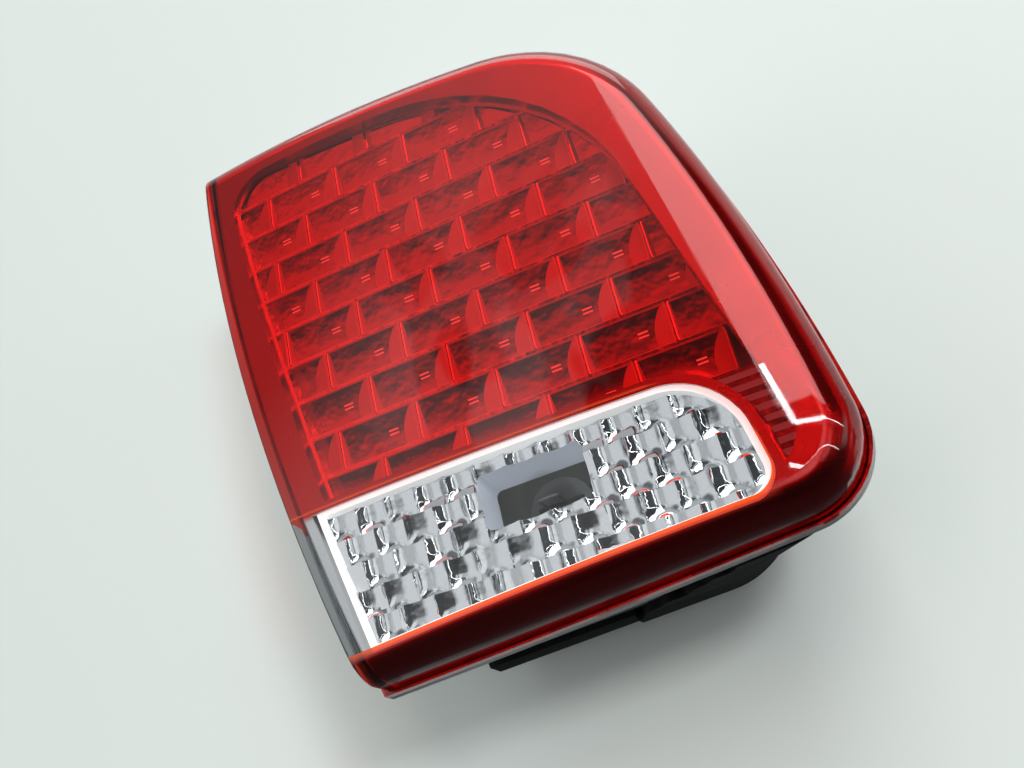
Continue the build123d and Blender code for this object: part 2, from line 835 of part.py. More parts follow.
gasket_face = ring_face(back_face(-gasket_overhang), back_face(gasket_width))
pad_back = gasket_proud - gasket_edge
with BuildPart() as corner_pad:
    with BuildSketch(face_plane(rim_back)):
        add(lamp_face(tub_inset - pad_thickness))
    with BuildSketch(face_plane(back_outer)):
        add(back_face(-pad_thickness))
    loft(ruled=True)
    with BuildSketch(face_plane(pad_back)):
        add(ring_face(back_face(-pad_thickness), back_face(gasket_overhang)))
    extrude(amount=pad_back - back_outer)
    add(tub.part, mode=Mode.SUBTRACT)
    with BuildSketch(Plane.XY.offset(pad_top)):
        far_right = outline_bottom_right[0]
        Polygon(
            (pad_left, pad_back), (pad_left, back_outer), (pad_full, pad_front), (far_right, pad_front),
            (far_right, pad_back), align=None,
        )
    extrude(amount=outline_bottom_left[1] - pad_top, mode=Mode.INTERSECT)

with BuildPart() as body_gasket:
    with BuildSketch(face_plane(gasket_proud)):
        add(gasket_face)
    extrude(amount=gasket_proud - back_outer)
    fillet(body_gasket.faces().sort_by(Axis.Y)[-1].edges(), gasket_edge)
    add(corner_pad.part)
body_gasket.part.label = "body_gasket"
export_step(body_gasket.part, "parts/body_gasket.step")

# LED connector: an open header with its flange on the housing, and its row of pins
connector_plane_back = back_outer + connector_depth
connector_floor_front = back_outer - connector_floor
first_pin = connector_x - (pin_count - 1) / 2 * pin_pitch
pin_points = [(first_pin + index * pin_pitch, connector_z) for index in range(pin_count)]
with BuildPart() as connector_shell:
    with BuildSketch(face_plane(connector_plane_back)):
        with Locations((connector_x, connector_z)):
            Rectangle(connector_length, connector_height)
    extrude(amount=connector_plane_back - connector_floor_front)
    with BuildSketch(face_plane(back_outer + connector_flange_thickness)):
        with Locations((connector_x, connector_z)):
            flange_length = connector_length + 2 * connector_flange
            Rectangle(flange_length, connector_height + 2 * connector_flange)
    extrude(amount=connector_flange_thickness)
    with BuildSketch(face_plane(connector_plane_back)):
        with Locations((connector_x, connector_z)):
            Rectangle(connector_length - 2 * connector_wall, connector_height - 2 * connector_wall)
    extrude(amount=connector_depth, mode=Mode.SUBTRACT)
    with BuildSketch(face_plane(back_outer)):
        with Locations(*pin_points):
            Rectangle(pin_size, pin_size)
    extrude(amount=connector_floor, mode=Mode.SUBTRACT)
connector_shell.part.label = "connector_shell"
export_step(connector_shell.part, "parts/connector_shell.step")

with BuildPart() as connector_pins:
    with BuildSketch(face_plane(back_outer + pin_length)):
        with Locations(*pin_points):
            Rectangle(pin_size, pin_size)
    extrude(amount=pin_length + connector_floor + pin_tail)
connector_pins.part.label = "connector_pins"
export_step(connector_pins.part, "parts/connector_pins.step")

# Breather: a cap that sits on the spigot and shields its bore
cap_under = back_outer + spigot_height
with BuildPart() as vent_cap:
    with BuildSketch(face_plane(cap_under + vent_wall)):
        with Locations((vent_x, vent_z)):
            Circle(vent_radius)
    extrude(amount=vent_wall + vent_skirt)
    with BuildSketch(face_plane(cap_under)):
        with Locations((vent_x, vent_z)):
            Circle(vent_radius - vent_wall)
    extrude(amount=vent_skirt, mode=Mode.SUBTRACT)
    fillet(vent_cap.faces().sort_by(Axis.Y)[-1].edges(), vent_wall / 2)
vent_cap.part.label = "vent_cap"
export_step(vent_cap.part, "parts/vent_cap.step")
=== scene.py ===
# %% [markdown]
# # Tail light cluster
# This lesson dresses a car's tail light for a studio picture. The light is a red and clear lens over
# plated reflectors, in a light grey housing with a black foam seal. The construction comes from a packed
# model, which is loaded first and never moved. All else here is finish: smooth skins, plating, plastics,
# foam and light.

# %% Load the frame
import math

import bmesh
import bpy
import numpy as np
from mathutils import Matrix, Quaternion, Vector


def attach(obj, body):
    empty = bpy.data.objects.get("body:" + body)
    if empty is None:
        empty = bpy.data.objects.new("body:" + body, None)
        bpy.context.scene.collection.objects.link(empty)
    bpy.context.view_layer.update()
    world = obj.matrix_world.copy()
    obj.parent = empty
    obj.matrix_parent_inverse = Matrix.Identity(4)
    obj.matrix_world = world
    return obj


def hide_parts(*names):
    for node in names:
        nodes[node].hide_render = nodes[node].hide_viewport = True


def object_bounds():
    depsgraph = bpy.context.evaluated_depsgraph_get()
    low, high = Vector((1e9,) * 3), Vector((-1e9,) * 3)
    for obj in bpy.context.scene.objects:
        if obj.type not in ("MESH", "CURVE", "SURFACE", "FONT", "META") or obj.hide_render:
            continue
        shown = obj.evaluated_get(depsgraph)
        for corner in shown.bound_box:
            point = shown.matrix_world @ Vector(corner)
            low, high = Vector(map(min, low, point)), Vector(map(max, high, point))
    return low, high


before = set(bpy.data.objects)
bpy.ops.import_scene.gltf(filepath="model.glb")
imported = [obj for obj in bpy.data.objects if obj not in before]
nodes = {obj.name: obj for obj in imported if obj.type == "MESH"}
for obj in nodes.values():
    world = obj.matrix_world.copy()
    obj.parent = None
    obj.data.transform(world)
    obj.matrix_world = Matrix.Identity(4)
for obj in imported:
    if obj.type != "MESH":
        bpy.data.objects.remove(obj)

cad_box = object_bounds()
print("nodes loaded:", len(nodes))

# %% [markdown]
# ## Units and the view
# Blender works in metres, but a lamp is drawn in millimetres, so one factor turns one into the other. The
# lamp hangs on a wall with its lens towards -Y, and the camera stands low on the right and looks up at
# it. A place, a point to aim at and a roll say the same as a rotation matrix, and are easier to read.

# %% Camera
MM = 0.001
camera_place = Vector((89.6, -343.2, -173.3)) * MM
camera_aim = Vector((7.4, -80.0, -31.7)) * MM
camera_roll = math.radians(13.4)
camera_lens = 38.67

camera = bpy.data.objects.new("camera", bpy.data.cameras.new("camera"))
camera.data.lens = camera_lens
camera.data.clip_start = 0.01
sight = (camera_aim - camera_place).normalized()
camera.rotation_mode = "QUATERNION"
camera.rotation_quaternion = Quaternion(sight, camera_roll) @ sight.to_track_quat("-Z", "Y")
camera.location = camera_place
bpy.context.scene.collection.objects.link(camera)
bpy.context.scene.camera = camera
bpy.context.scene.view_settings.view_transform = "Standard"
print("camera distance:", round((camera_aim - camera_place).length, 3), "m")

# %% [markdown]
# ## Colours, nodes and objects
# Colours are picked as sRGB hex values and a shader wants linear light, so one function converts them.
# One more adds a node to any tree with its settings, values and links, which keeps each material to a few
# lines. It returns an output of the node, so calls can be strung together as the nodes are.

# %% Helpers for materials and objects


def linear(code):
    """A hex colour such as "#c01018" as linear red, green, blue and alpha."""
    parts = [int(code[i:i + 2], 16) / 255 for i in (1, 3, 5)]
    return [p / 12.92 if p <= 0.04045 else ((p + 0.055) / 1.055) ** 2.4 for p in parts] + [1.0]


def node(tree, kind, inputs=None, out=0, **settings):
    """Adds a node, sets it up, gives its inputs values or links them to sockets, and returns an output."""
    made = tree.nodes.new(kind)
    for name, value in settings.items():
        setattr(made, name, value)
    for name, value in (inputs or {}).items():
        if isinstance(value, bpy.types.NodeSocket):
            tree.links.new(value, made.inputs[name])
        else:
            made.inputs[name].default_value = value
    return made.outputs[out] if made.outputs else None


def new_material(name):
    """An empty material with its node tree."""
    material = bpy.data.materials.new(name)
    material.use_nodes = True
    material.node_tree.nodes.clear()
    return material, material.node_tree


def placed(name, data):
    """A new object in the scene, with its data in place."""
    made = bpy.data.objects.new(name, data)
    bpy.context.scene.collection.objects.link(made)
    return made


print("mid grey in linear light:", [round(part, 3) for part in linear("#808080")])

# %% [markdown]
# ## Stage
# The lamp was laid on a pale table. In the lamp's own frame that table stands upright behind it, so the
# stage is one pale wall just behind the studs. Seen from behind it is clear, so the back of the lamp can
# be looked at too. The real table ends just below the lamp. The strip under that end is there for the eye
# alone: the lens doesn't mirror it and it throws no light back.

# %% Wall
wall_gap = 0.5 * MM
wall_half = 1.2
table_edge = -0.10
wall_y = cad_box[1].y + wall_gap


def pale_wall():
    """Matt pale paint on the front of the wall, nothing at all from behind."""
    material, tree = new_material("matt pale paint")
    behind = node(tree, "ShaderNodeNewGeometry", out="Backfacing")
    paint = node(tree, "ShaderNodeBsdfDiffuse", {"Color": linear("#dfe6e2")})
    gone = node(tree, "ShaderNodeBsdfTransparent")
    mixed = node(tree, "ShaderNodeMixShader", {0: behind, 1: paint, 2: gone})
    node(tree, "ShaderNodeOutputMaterial", {"Surface": mixed})
    return material


def wall_strip(name, bottom, top, paint):
    """A strip of the wall between two heights, which faces the front."""
    ends = ((-wall_half, bottom), (wall_half, bottom), (wall_half, top), (-wall_half, top))
    mesh = bpy.data.meshes.new(name)
    mesh.from_pydata([(x, wall_y, z) for x, z in ends], [], [(0, 1, 2, 3)])
    mesh.materials.append(paint)
    made = placed(name, mesh)
    made.visible_shadow = False
    return made


wall_paint = pale_wall()
wall_strip("wall", table_edge, wall_half, wall_paint)
low_wall = wall_strip("low_wall", -wall_half, table_edge, wall_paint)
low_wall.visible_glossy = False
low_wall.visible_diffuse = False
low_wall.visible_transmission = False
print("wall at y =", round(wall_y, 4), "ends at z =", table_edge)

# %% [markdown]
# ## Room
# Plating shows little but its surroundings, and in a world of plain grey it would look dull. A picture of
# a room could be wrapped round the lamp, but a few layers of nodes give the same with sizes that can be
# read. The room is pale, with blotches for the things along its walls, a dark ground and a pale ceiling.
# Soft patches, pale or dark, stand where the bricks, the flutes and the shoulder of the lens mirror them.
# Camera rays see plain pale paint in place of all this.

# %% World
room_grey = "#d6dada"
seen_pale = "#dfe6e3"
clutter_size = (3.4, 3.4, 1.2)
clutter_detail = 3.0


def even(strength):
    """White light of a strength, as red, green, blue and alpha."""
    return [strength] * 3 + [1.0]


# A layer has what it follows, where it starts and is full, its share there, and its colour. A layer that
# follows a direction starts and is full at angles from it, in degrees.
room_layers = (
    ("things", (0.51, 0.53), 1.0, linear("#4c5052")),  # dark things along the walls
    ("things", (0.47, 0.45), 1.0, even(1.3)),  # pale things between them
    ((-0.27, -0.95, -0.14), (28, 18), 0.75, even(1.0)),  # pale door, which the floors of the bricks mirror
    ("height", (-0.18, -0.36), 1.0, linear("#3c4042")),  # ground
    ("height", (0.35, 0.75), 1.0, linear("#dde0e0")),  # ceiling
    ((-0.76, -0.64, 0.06), (34, 20), 1.0, even(1.1)),  # left wall
    ((0.75, -0.50, 0.43), (30, 20), 1.0, linear("#3a3436")),  # curtain on the right
    ((-0.68, -0.45, 0.58), (26, 14), 1.0, linear("#7c8082")),  # shelf on the left
    ((0.25, -0.65, -0.72), (34, 27), 1.0, linear("#2c2e30")),  # shade low in front
)


def room():
    """World of a pale room, built up from its layers."""
    world = bpy.data.worlds.new("room")
    world.use_nodes = True
    tree = world.node_tree
    tree.nodes.clear()
    way = node(tree, "ShaderNodeTexCoord", out="Generated")
    spread = node(tree, "ShaderNodeVectorMath", {0: way, 1: clutter_size}, operation="MULTIPLY")
    things = node(tree, "ShaderNodeTexNoise", {"Vector": spread, "Scale": 1.0, "Detail": clutter_detail})
    height = node(tree, "ShaderNodeSeparateXYZ", {0: way}, out="Z")
    shade = linear(room_grey)
    for follows, ends, share, colour in room_layers:
        value = {"things": things, "height": height}.get(follows)
        if value is None:
            aim = Vector(follows).normalized()
            ends = [math.cos(math.radians(angle)) for angle in ends]
            value = node(tree, "ShaderNodeVectorMath", {0: way, 1: aim}, out="Value",
                         operation="DOT_PRODUCT")
        amount = node(tree, "ShaderNodeMapRange", {0: value, 1: ends[0], 2: ends[1], 4: share})
        shade = node(tree, "ShaderNodeMix", {0: amount, 6: shade, 7: colour}, out=2, data_type="RGBA")
    ray = node(tree, "ShaderNodeLightPath").node.outputs
    seen = node(tree, "ShaderNodeMath", {0: ray["Is Camera Ray"], 1: ray["Is Transmission Ray"]},
                operation="MAXIMUM")
    light = node(tree, "ShaderNodeMix", {0: seen, 6: shade, 7: linear(seen_pale)}, out=2, data_type="RGBA")
    node(tree, "ShaderNodeOutputWorld", {0: node(tree, "ShaderNodeBackground", {0: light})})
    return world


bpy.context.scene.world = room()
print("layers of the room:", len(room_layers))

# %% [markdown]
# ## Lamps
# A large window up on the right gives the pale band along the right shoulder, and the soft shadow to the
# left and below. Three thin tubes low on the right are there for the white streaks that the lower right
# corner mirrors. One more lamp lights the reflectors through the lens from the right, and isn't mirrored
# itself. Painting the streaks on the lens would fix them in place, while a lamp's mirror image moves with
# the view.

# %% Lamps, with places and sizes in metres and powers in watts
lit_point = Vector((0, -0.05, 0))


def area_lamp(name, place, turn, size, power):
    """A rectangular lamp at a place, turned so that it shines along its own -Z."""
    lamp = bpy.data.lights.new(name, "AREA")
    lamp.shape = "RECTANGLE"
    lamp.size, lamp.size_y = size
    lamp.energy = power
    made = placed(name, lamp)
    made.location = place
    made.rotation_mode = "QUATERNION"
    made.rotation_quaternion = turn
    return made


def soft_lamp(name, place, size, power):
    """A large lamp that faces the object."""
    aim = lit_point - Vector(place)
    return area_lamp(name, place, aim.to_track_quat("-Z", "Y"), size, power)


def tube_lamp(name, start, end, width, power):
    """A thin lamp between two places, which faces the object."""
    start, end = Vector(start), Vector(end)
    along = (end - start).normalized()
    middle = (start + end) / 2
    back = (middle - along * middle.dot(along)).normalized()
    turn = Matrix((along, back.cross(along), back)).transposed().to_quaternion()
    return area_lamp(name, middle, turn, ((end - start).length, width), power)


soft_lamp("window", (0.843, -2.39, 1.706), (1.4, 2.35), 35)
soft_lamp("far_window", (0.1, -0.5, 2.6), (2.4, 1.0), 18)
side_lamp = soft_lamp("side_lamp", (1.7, -2.6, 0.15), (0.5, 0.5), 26)
side_lamp.visible_glossy = False
soft_lamp("back_fill", (-0.6, 1.2, 0.6), (1.0, 1.0), 10)
tube_lamp("upper_tube", (0.31, -2.005, 0.36), (1.9, -0.9, -0.13), 0.014, 2.3)
tube_lamp("lower_tube", (0.26, -2.045, 0.24), (1.643, -1.153, -0.712), 0.014, 1.8)
tube_lamp("side_tube", (0.27, -1.965, 0.57), (0.31, -2.005, 0.36), 0.018, 0.32)

# %% [markdown]
# ## Outlines
# The lens, its window and the brick field are all four-sided outlines with gently bulged sides and some
# round corners. They could be traced as curves by hand, but every ring of the lens skin needs the same
# outline a bit further in, so a few lines of geometry work each one out: sides are arcs, and a corner is
# an arc inside both.

# %% Sizes of the outlines, in millimetres
lens_corners = ((-94.0, 104.0), (56.0, 87.0), (94.0, -87.5), (-58.0, -97.5))
lens_bulges = (3.5, 6.5, 0.8, 5.5)
lens_radii = (0.0, 62.0, 22.0, 0.0)
window_corners = ((-64.0, -45.5), (63.0, -46.5), (68.5, -83.0), (-54.0, -89.5))
window_radii = (0.0, 22.0, 7.0, 0.0)
field_corners = ((-83.5, 92.0), (42.0, 79.0), (79.5, -78.0), (-51.0, -80.0))
field_bulges = (2.8, 0.0, 0.0, 2.0)
field_radii = (14.0, 85.0, 12.0, 0.0)
straight = (0.0, 0.0, 0.0, 0.0)
field_land = 3.0
far_left = 200.0
print("lens corners:", lens_corners)

# %% Sides
flat_bulge = 0.01


def moved_side(start, end, inset):
    """A side of a clockwise outline, moved inwards."""
    start, end = np.array(start), np.array(end)
    along = (end - start) / np.hypot(*(end - start))
    shift = np.array((along[1], -along[0])) * inset
    return start + shift, end + shift


def crossing(first, second):
    """The point where two sides, made longer, cross."""
    (a, b), (c, d) = first, second
    steps = np.linalg.solve(np.column_stack((b - a, c - d)), c - a)
    return a + (b - a) * steps[0]


def inset_corners(corners, insets):
    """Corners of a clockwise outline after its top, right, bottom and left side have moved inwards."""
    sides = [moved_side(corners[i], corners[(i + 1) % 4], insets[i]) for i in range(4)]
    return [crossing(sides[i - 1], sides[i]) for i in range(4)]


def side_circle(start, end, bulge):
    """Centre and radius of a side's arc. A straight side is an arc of a very large circle."""
    chord = end - start
    length = np.hypot(*chord)
    sag = max(bulge, flat_bulge)
    radius = (length ** 2 / 4 + sag ** 2) / (2 * sag)
    outwards = np.array((-chord[1], chord[0])) / length
    return (start + end) / 2 - outwards * (radius - sag), radius


print("window corners a millimetre further in:",
      [tuple(point.round(1).tolist()) for point in inset_corners(window_corners, (1.0,) * 4)])

# %% Whole outlines


def corner_centre(first, second, radius, corner):
    """Centre of the arc that rounds the corner between two side arcs."""
    (a, ra), (b, rb) = first, second
    ra, rb = ra - radius, rb - radius
    gap = np.hypot(*(b - a))
    along = (gap ** 2 + ra ** 2 - rb ** 2) / (2 * gap)
    up = math.sqrt(max(ra ** 2 - along ** 2, 0.0))
    unit = (b - a) / gap
    across = np.array((-unit[1], unit[0]))
    both = [a + unit * along + across * up * sign for sign in (1, -1)]
    return min(both, key=lambda centre: np.hypot(*(centre - corner)))


def arc(centre, radius, start, end, count):
    """Points of an arc, closer together at its two ends, without its last point."""
    first = math.atan2(*(start - centre)[::-1])
    turn = math.remainder(math.atan2(*(end - centre)[::-1]) - first, 2 * math.pi)
    shares = 0.5 - 0.5 * np.cos(np.pi * np.arange(count) / count)
    angles = first + turn * shares
    return centre + radius * np.column_stack((np.cos(angles), np.sin(angles)))


def outline(corners, bulges, radii, insets, side_count=40, corner_count=14):
    """Points of a clockwise outline, from its top left corner, and a mask of those on its left side."""
    moved = inset_corners(corners, insets)
    circles = [side_circle(moved[i], moved[(i + 1) % 4], bulges[i]) for i in range(4)]
    starts, ends, rounds = [None] * 4, [None] * 4, [None] * 4
    for i in range(4):
        starts[i], ends[i - 1] = moved[i], moved[i]
        if radii[i]:
            centre = corner_centre(circles[i - 1], circles[i], radii[i], moved[i])
            rounds[i] = centre
            for side in (i - 1, i):
                middle, radius = circles[side]
                touch = middle + (centre - middle) / np.hypot(*(centre - middle)) * radius
                if side == i:
                    starts[i] = touch
                else:
                    ends[i - 1] = touch
    points, on_left = [], []
    for i in range(4):
        if rounds[i] is not None:
            points.append(arc(rounds[i], radii[i], ends[i - 1], starts[i], corner_count))
            on_left += [False] * corner_count
        points.append(arc(*circles[i], starts[i], ends[i], side_count))
        on_left += [i == 3 and step > 0 for step in range(side_count)]
    return np.vstack(points), np.array(on_left)


probe, _ = outline(lens_corners, lens_bulges, lens_radii, straight)
print("lens outline:", len(probe), "points,", np.ptp(probe, axis=0).round(1), "mm")

# %% [markdown]
# ## Meshes
# All pieces are worked out in millimetres in the lamp's frame. One function makes a mesh of them in
# metres, merges doubled points, turns the faces outwards and keeps edges sharp where the surface really
# turns.

# %% Mesh helpers
smooth_angle = math.radians(32)
merge_distance = 1e-4


def smooth(mesh):
    """Smooth shading that leaves real edges sharp."""
    mesh.shade_smooth()
    mesh.set_sharp_from_angle(angle=smooth_angle)


def piece(name, points, faces):
    """An object from points in millimetres and lists of point numbers."""
    shape = bmesh.new()
    corners = [shape.verts.new(Vector(p) * MM) for p in points]
    for face in faces:
        shape.faces.new([corners[i] for i in face])
    bmesh.ops.remove_doubles(shape, verts=shape.verts, dist=merge_distance * MM)
    bmesh.ops.recalc_face_normals(shape, faces=shape.faces)
    mesh = bpy.data.meshes.new(name)
    shape.to_mesh(mesh)
    shape.free()
    smooth(mesh)
    return placed(name, mesh)


def ring_faces(ring_size, ring_count):
    """Quads between rings of equal size that follow one another."""
    faces = []
    for ring in range(ring_count - 1):
        low, high = ring * ring_size, (ring + 1) * ring_size
        for i in range(ring_size):
            after = (i + 1) % ring_size
            faces.append((low + i, low + after, high + after, high + i))
    return faces


def prism(name, loop, front, rear):
    """A solid with a flat outline, from the depth front to the depth rear."""
    size = len(loop)
    points = [(x, front, z) for x, z in loop] + [(x, rear, z) for x, z in loop]
    faces = ring_faces(size, 2) + [tuple(range(size)), tuple(range(size, 2 * size))]
    return piece(name, points, faces)


print("edges are sharp from", round(math.degrees(smooth_angle)), "degrees on")

# %% Modifiers made final


def baked(made):
    """Turns an object's live modifiers into a plain mesh."""
    bpy.context.view_layer.update()
    whole = made.evaluated_get(bpy.context.evaluated_depsgraph_get())
    mesh = bpy.data.meshes.new_from_object(whole)
    made.modifiers.clear()
    made.data = mesh
    return made


def boolean(made, tool, operation, keep_tool=False):
    """Cuts, joins or keeps what two solids share."""
    step = made.modifiers.new(operation, "BOOLEAN")
    step.operation = operation
    step.solver = "EXACT"
    step.object = tool
    baked(made)
    if not keep_tool:
        bpy.data.objects.remove(tool)
    smooth(made.data)
    return made


# %% [markdown]
# ## Domed skins
# The lens is a shallow cap: a crown of a very large sphere, a rolled shoulder on three sides, and a crisp
# edge on the left where the lamp meets its neighbour. The trim under it has the same form, a little
# further in. A sphere with rolled edges could be cut out of a block, but rings of the outline, each
# lifted by the height of the dome there, give such a skin with an even flow of faces.

# %% Rolled edge
lens_front = -80.0
lens_rear = -54.0
crown_radius = 900.0
shoulder_radius = 8.0
left_edge_radius = 0.7


def crown_height(x, z, inset):
    """Depth of a skin that lies inset millimetres under the crown."""
    reach = (crown_radius - inset) ** 2 - np.square(x) - np.square(z)
    return lens_front + crown_radius - np.sqrt(reach)


def rolled(distance, radius):
    """How far a rolled edge has dropped at a distance from the wall it runs into."""
    left = np.clip(radius - distance, 0.0, radius)
    return radius - np.sqrt(radius ** 2 - left ** 2)


def skin_ring(inset, turn):
    """A ring of points on the rolled edge of a skin: turn is 0 on the crown and 1 at the wall."""
    radius = shoulder_radius - inset
    angle = turn * math.pi / 2
    shift = inset + radius * (1 - math.sin(angle))
    left_shift = inset + left_edge_radius * (1 - math.sin(angle))
    radii = [r - shift if r else 0.0 for r in lens_radii]
    flat, on_left = outline(lens_corners, lens_bulges, radii, (shift, shift, shift, left_shift))
    drop = np.full(len(flat), radius * (1 - math.cos(angle)))
    wall = inset_corners(lens_corners, (inset,) * 4)
    for side in (0, 2):
        centre, circle = side_circle(wall[side], wall[(side + 1) % 4], lens_bulges[side])
        distance = circle - np.hypot(*(flat - centre).T)
        near = rolled(distance, radius)
        drop[on_left] = near[on_left] if side == 0 else np.maximum(drop, near)[on_left]
    drop[on_left] += left_edge_radius * (1 - math.cos(angle))
    height = crown_height(flat[:, 0], flat[:, 1], inset) + drop
    return np.column_stack((flat[:, 0], height, flat[:, 1]))


print("points in a ring:", len(skin_ring(0.0, 0.0)))

# %% Rings of a skin
roll_steps = 10
crown_steps = 9
crown_centre = 0.01


def crown_rings(inset):
    """Rings from near the middle of the crown out to where the shoulder starts."""
    edge = skin_ring(inset, 0.0)
    middle = edge.mean(axis=0)
    rings = []
    for share in np.linspace(crown_centre, 1.0, crown_steps, endpoint=False):
        ring = middle + (edge - middle) * share
        ring[:, 1] = crown_height(ring[:, 0], ring[:, 2], inset)
        rings.append(ring)
    return rings


def skin_rings(inset):
    """All rings of a skin, from the middle of its crown to the top of its wall."""
    return crown_rings(inset) + [skin_ring(inset, step / roll_steps) for step in range(roll_steps + 1)]


def wall_ring(inset, depth):
    """The outline at a depth, moved inwards."""
    radii = [r - inset if r else 0.0 for r in lens_radii]
    flat, _ = outline(lens_corners, lens_bulges, radii, (inset,) * 4)
    return np.column_stack((flat[:, 0], np.full(len(flat), depth), flat[:, 1]))


print("rings of a skin:", len(skin_rings(0.0)))

# %% Shells
lens_wall = 2.6
flange_width = 1.5
flange_thickness = 2.5


def closed_rings(name, rings):
    """A solid from rings that start and end in a small cap."""
    size = len(rings[0])
    count = len(rings)
    faces = ring_faces(size, count)
    faces += [tuple(range(size)), tuple(range((count - 1) * size, count * size))]
    return piece(name, np.vstack(rings), faces)


def lens_shell():
    """The whole lens, both shots, with its wall and flange."""
    flange_front = lens_rear - flange_thickness
    rings = skin_rings(0.0)
    rings += [wall_ring(0.0, flange_front), wall_ring(-flange_width, flange_front)]
    rings += [wall_ring(-flange_width, lens_rear), wall_ring(lens_wall, lens_rear)]
    rings += skin_rings(lens_wall)[::-1]
    return closed_rings("lens_shell", rings)


def domed_block(inset, rear):
    """A solid under the lens with a domed front and a flat back."""
    return closed_rings("domed_block", skin_rings(inset) + [wall_ring(inset, rear)])


def trim_shell(inset, wall, rear):
    """A thin domed skin under the lens, open at the back."""
    rings = skin_rings(inset) + [wall_ring(inset, rear), wall_ring(inset + wall, rear)]
    return closed_rings("trim_shell", rings + skin_rings(inset + wall)[::-1])


print("lens wall:", lens_wall, "mm, flange:", flange_width, "by", flange_thickness, "mm")

# %% [markdown]
# ## Lens plastics
# Tail light lenses are moulded acrylic, red and clear in two shots. Acrylic mirrors a few hundredths of
# the room and lets the rest through, tinted. A glass shader alone would leave the inside dark and noisy,
# since lamps can't be aimed at through it. So light that comes from lamps or bounces inside passes it as
# a plain tinted filter. At the cut edge of the red shot light gathers; it is painted on, as a warm line of
# painted light that runs round the window and fades out more slowly below it.

# %% Painted light along the edge of the window
edge_reach = 1.0 * MM
glow_reach = 2.6 * MM
glow_end = 8.0 * MM


def side_distance(tree, place, side):
    """How far a point lies outside one side of the window, in metres."""
    start, end = moved_side(window_corners[side], window_corners[(side + 1) % 4], 0.0)
    along = (end - start) / np.hypot(*(end - start))
    outwards = (-along[1], 0.0, along[0])
    reach = (along[0] * start[1] - along[1] * start[0]) * MM
    across = node(tree, "ShaderNodeVectorMath", {0: place, 1: outwards}, out="Value",
                  operation="DOT_PRODUCT")
    return node(tree, "ShaderNodeMath", {0: across, 1: reach}, operation="SUBTRACT")


def corner_distance(tree, first, second, radius):
    """How far a point lies outside a round corner, from its distances to both sides."""
    squares = []
    for side in (first, second):
        grown = node(tree, "ShaderNodeMath", {0: side, 1: radius}, operation="ADD")
        reach = node(tree, "ShaderNodeMath", {0: grown, 1: 0.0}, operation="MAXIMUM")
        squares.append(node(tree, "ShaderNodeMath", {0: reach, 1: reach}, operation="MULTIPLY"))
    both = node(tree, "ShaderNodeMath", dict(enumerate(squares)), operation="ADD")
    root = node(tree, "ShaderNodeMath", {0: both}, operation="SQRT")
    return node(tree, "ShaderNodeMath", {0: root, 1: radius}, operation="SUBTRACT")


def painted_window_glow(tree, place):
    """Mask of the painted edge light: 1 at the edge of the window, fading out within a millimetre, and more
    slowly below the window.
    """
    top, right, bottom = [side_distance(tree, place, side) for side in (0, 1, 2)]
    upper = corner_distance(tree, top, right, window_radii[1] * MM)
    lower = corner_distance(tree, bottom, right, window_radii[2] * MM)
    outside = node(tree, "ShaderNodeMath", {0: upper, 1: lower}, operation="MAXIMUM")
    edge = node(tree, "ShaderNodeMapRange", {0: outside, 2: edge_reach, 3: 1.0, 4: 0.0})
    below = node(tree, "ShaderNodeMapRange", {0: bottom, 2: glow_reach, 3: 1.0, 4: 0.0},
                 interpolation_type="SMOOTHSTEP")
    under = node(tree, "ShaderNodeMath", {0: bottom, 1: 0.0}, operation="GREATER_THAN")
    before_corner = node(tree, "ShaderNodeMapRange", {0: right, 1: -glow_end, 2: 0.0, 3: 1.0, 4: 0.0})
    for limit in (under, before_corner):
        below = node(tree, "ShaderNodeMath", {0: below, 1: limit}, operation="MULTIPLY")
    return node(tree, "ShaderNodeMath", {0: edge, 1: below}, operation="MAXIMUM")


print("warm edge:", edge_reach / MM, "mm wide, below the window", glow_reach / MM, "mm")

# %% Red and clear acrylic
acrylic_ior = 1.49
edge_body = 0.55
smear_size = 18 * MM
smear_roughness = (0.012, 0.05)


def acrylic(name, tint, filter_tint, haze=0.0, painted_edge_light=None):
    """Glossy acrylic or glass: tint for sight, filter_tint for light, haze, and painted_edge_light, the
    colour of light painted along the window's edge.
    """
    material, tree = new_material(name)
    place = node(tree, "ShaderNodeTexCoord", out="Object")
    smears = node(tree, "ShaderNodeTexNoise", {"Vector": place, "Scale": 1 / smear_size, "Detail": 4.0,
                                               "Roughness": 0.6})
    rough = node(tree, "ShaderNodeMapRange", {0: smears, 1: 0.45, 2: 0.75, 3: smear_roughness[0],
                                              4: smear_roughness[1]})
    colour, clear = linear(tint), 1 - haze
    if painted_edge_light:
        glow = painted_window_glow(tree, place)
        clear = node(tree, "ShaderNodeMapRange", {0: glow, 3: 1.0, 4: 1 - edge_body})
        colour = node(tree, "ShaderNodeMix", {0: glow, 6: linear(tint), 7: linear(painted_edge_light)}, out=2,
                      data_type="RGBA")
    glass = node(tree, "ShaderNodeBsdfPrincipled", {
        "Base Color": colour, "IOR": acrylic_ior, "Transmission Weight": clear, "Roughness": rough})
    ray = node(tree, "ShaderNodeLightPath").node.outputs
    bounced = node(tree, "ShaderNodeMath", {0: ray["Is Diffuse Ray"], 1: ray["Is Glossy Ray"]},
                   operation="MAXIMUM")
    passing = node(tree, "ShaderNodeMath", {0: ray["Is Shadow Ray"], 1: bounced}, operation="MAXIMUM")
    through = node(tree, "ShaderNodeBsdfTransparent", {"Color": linear(filter_tint)})
    both = node(tree, "ShaderNodeMixShader", {0: passing, 1: glass, 2: through})
    node(tree, "ShaderNodeOutputMaterial", {"Surface": both})
    return material


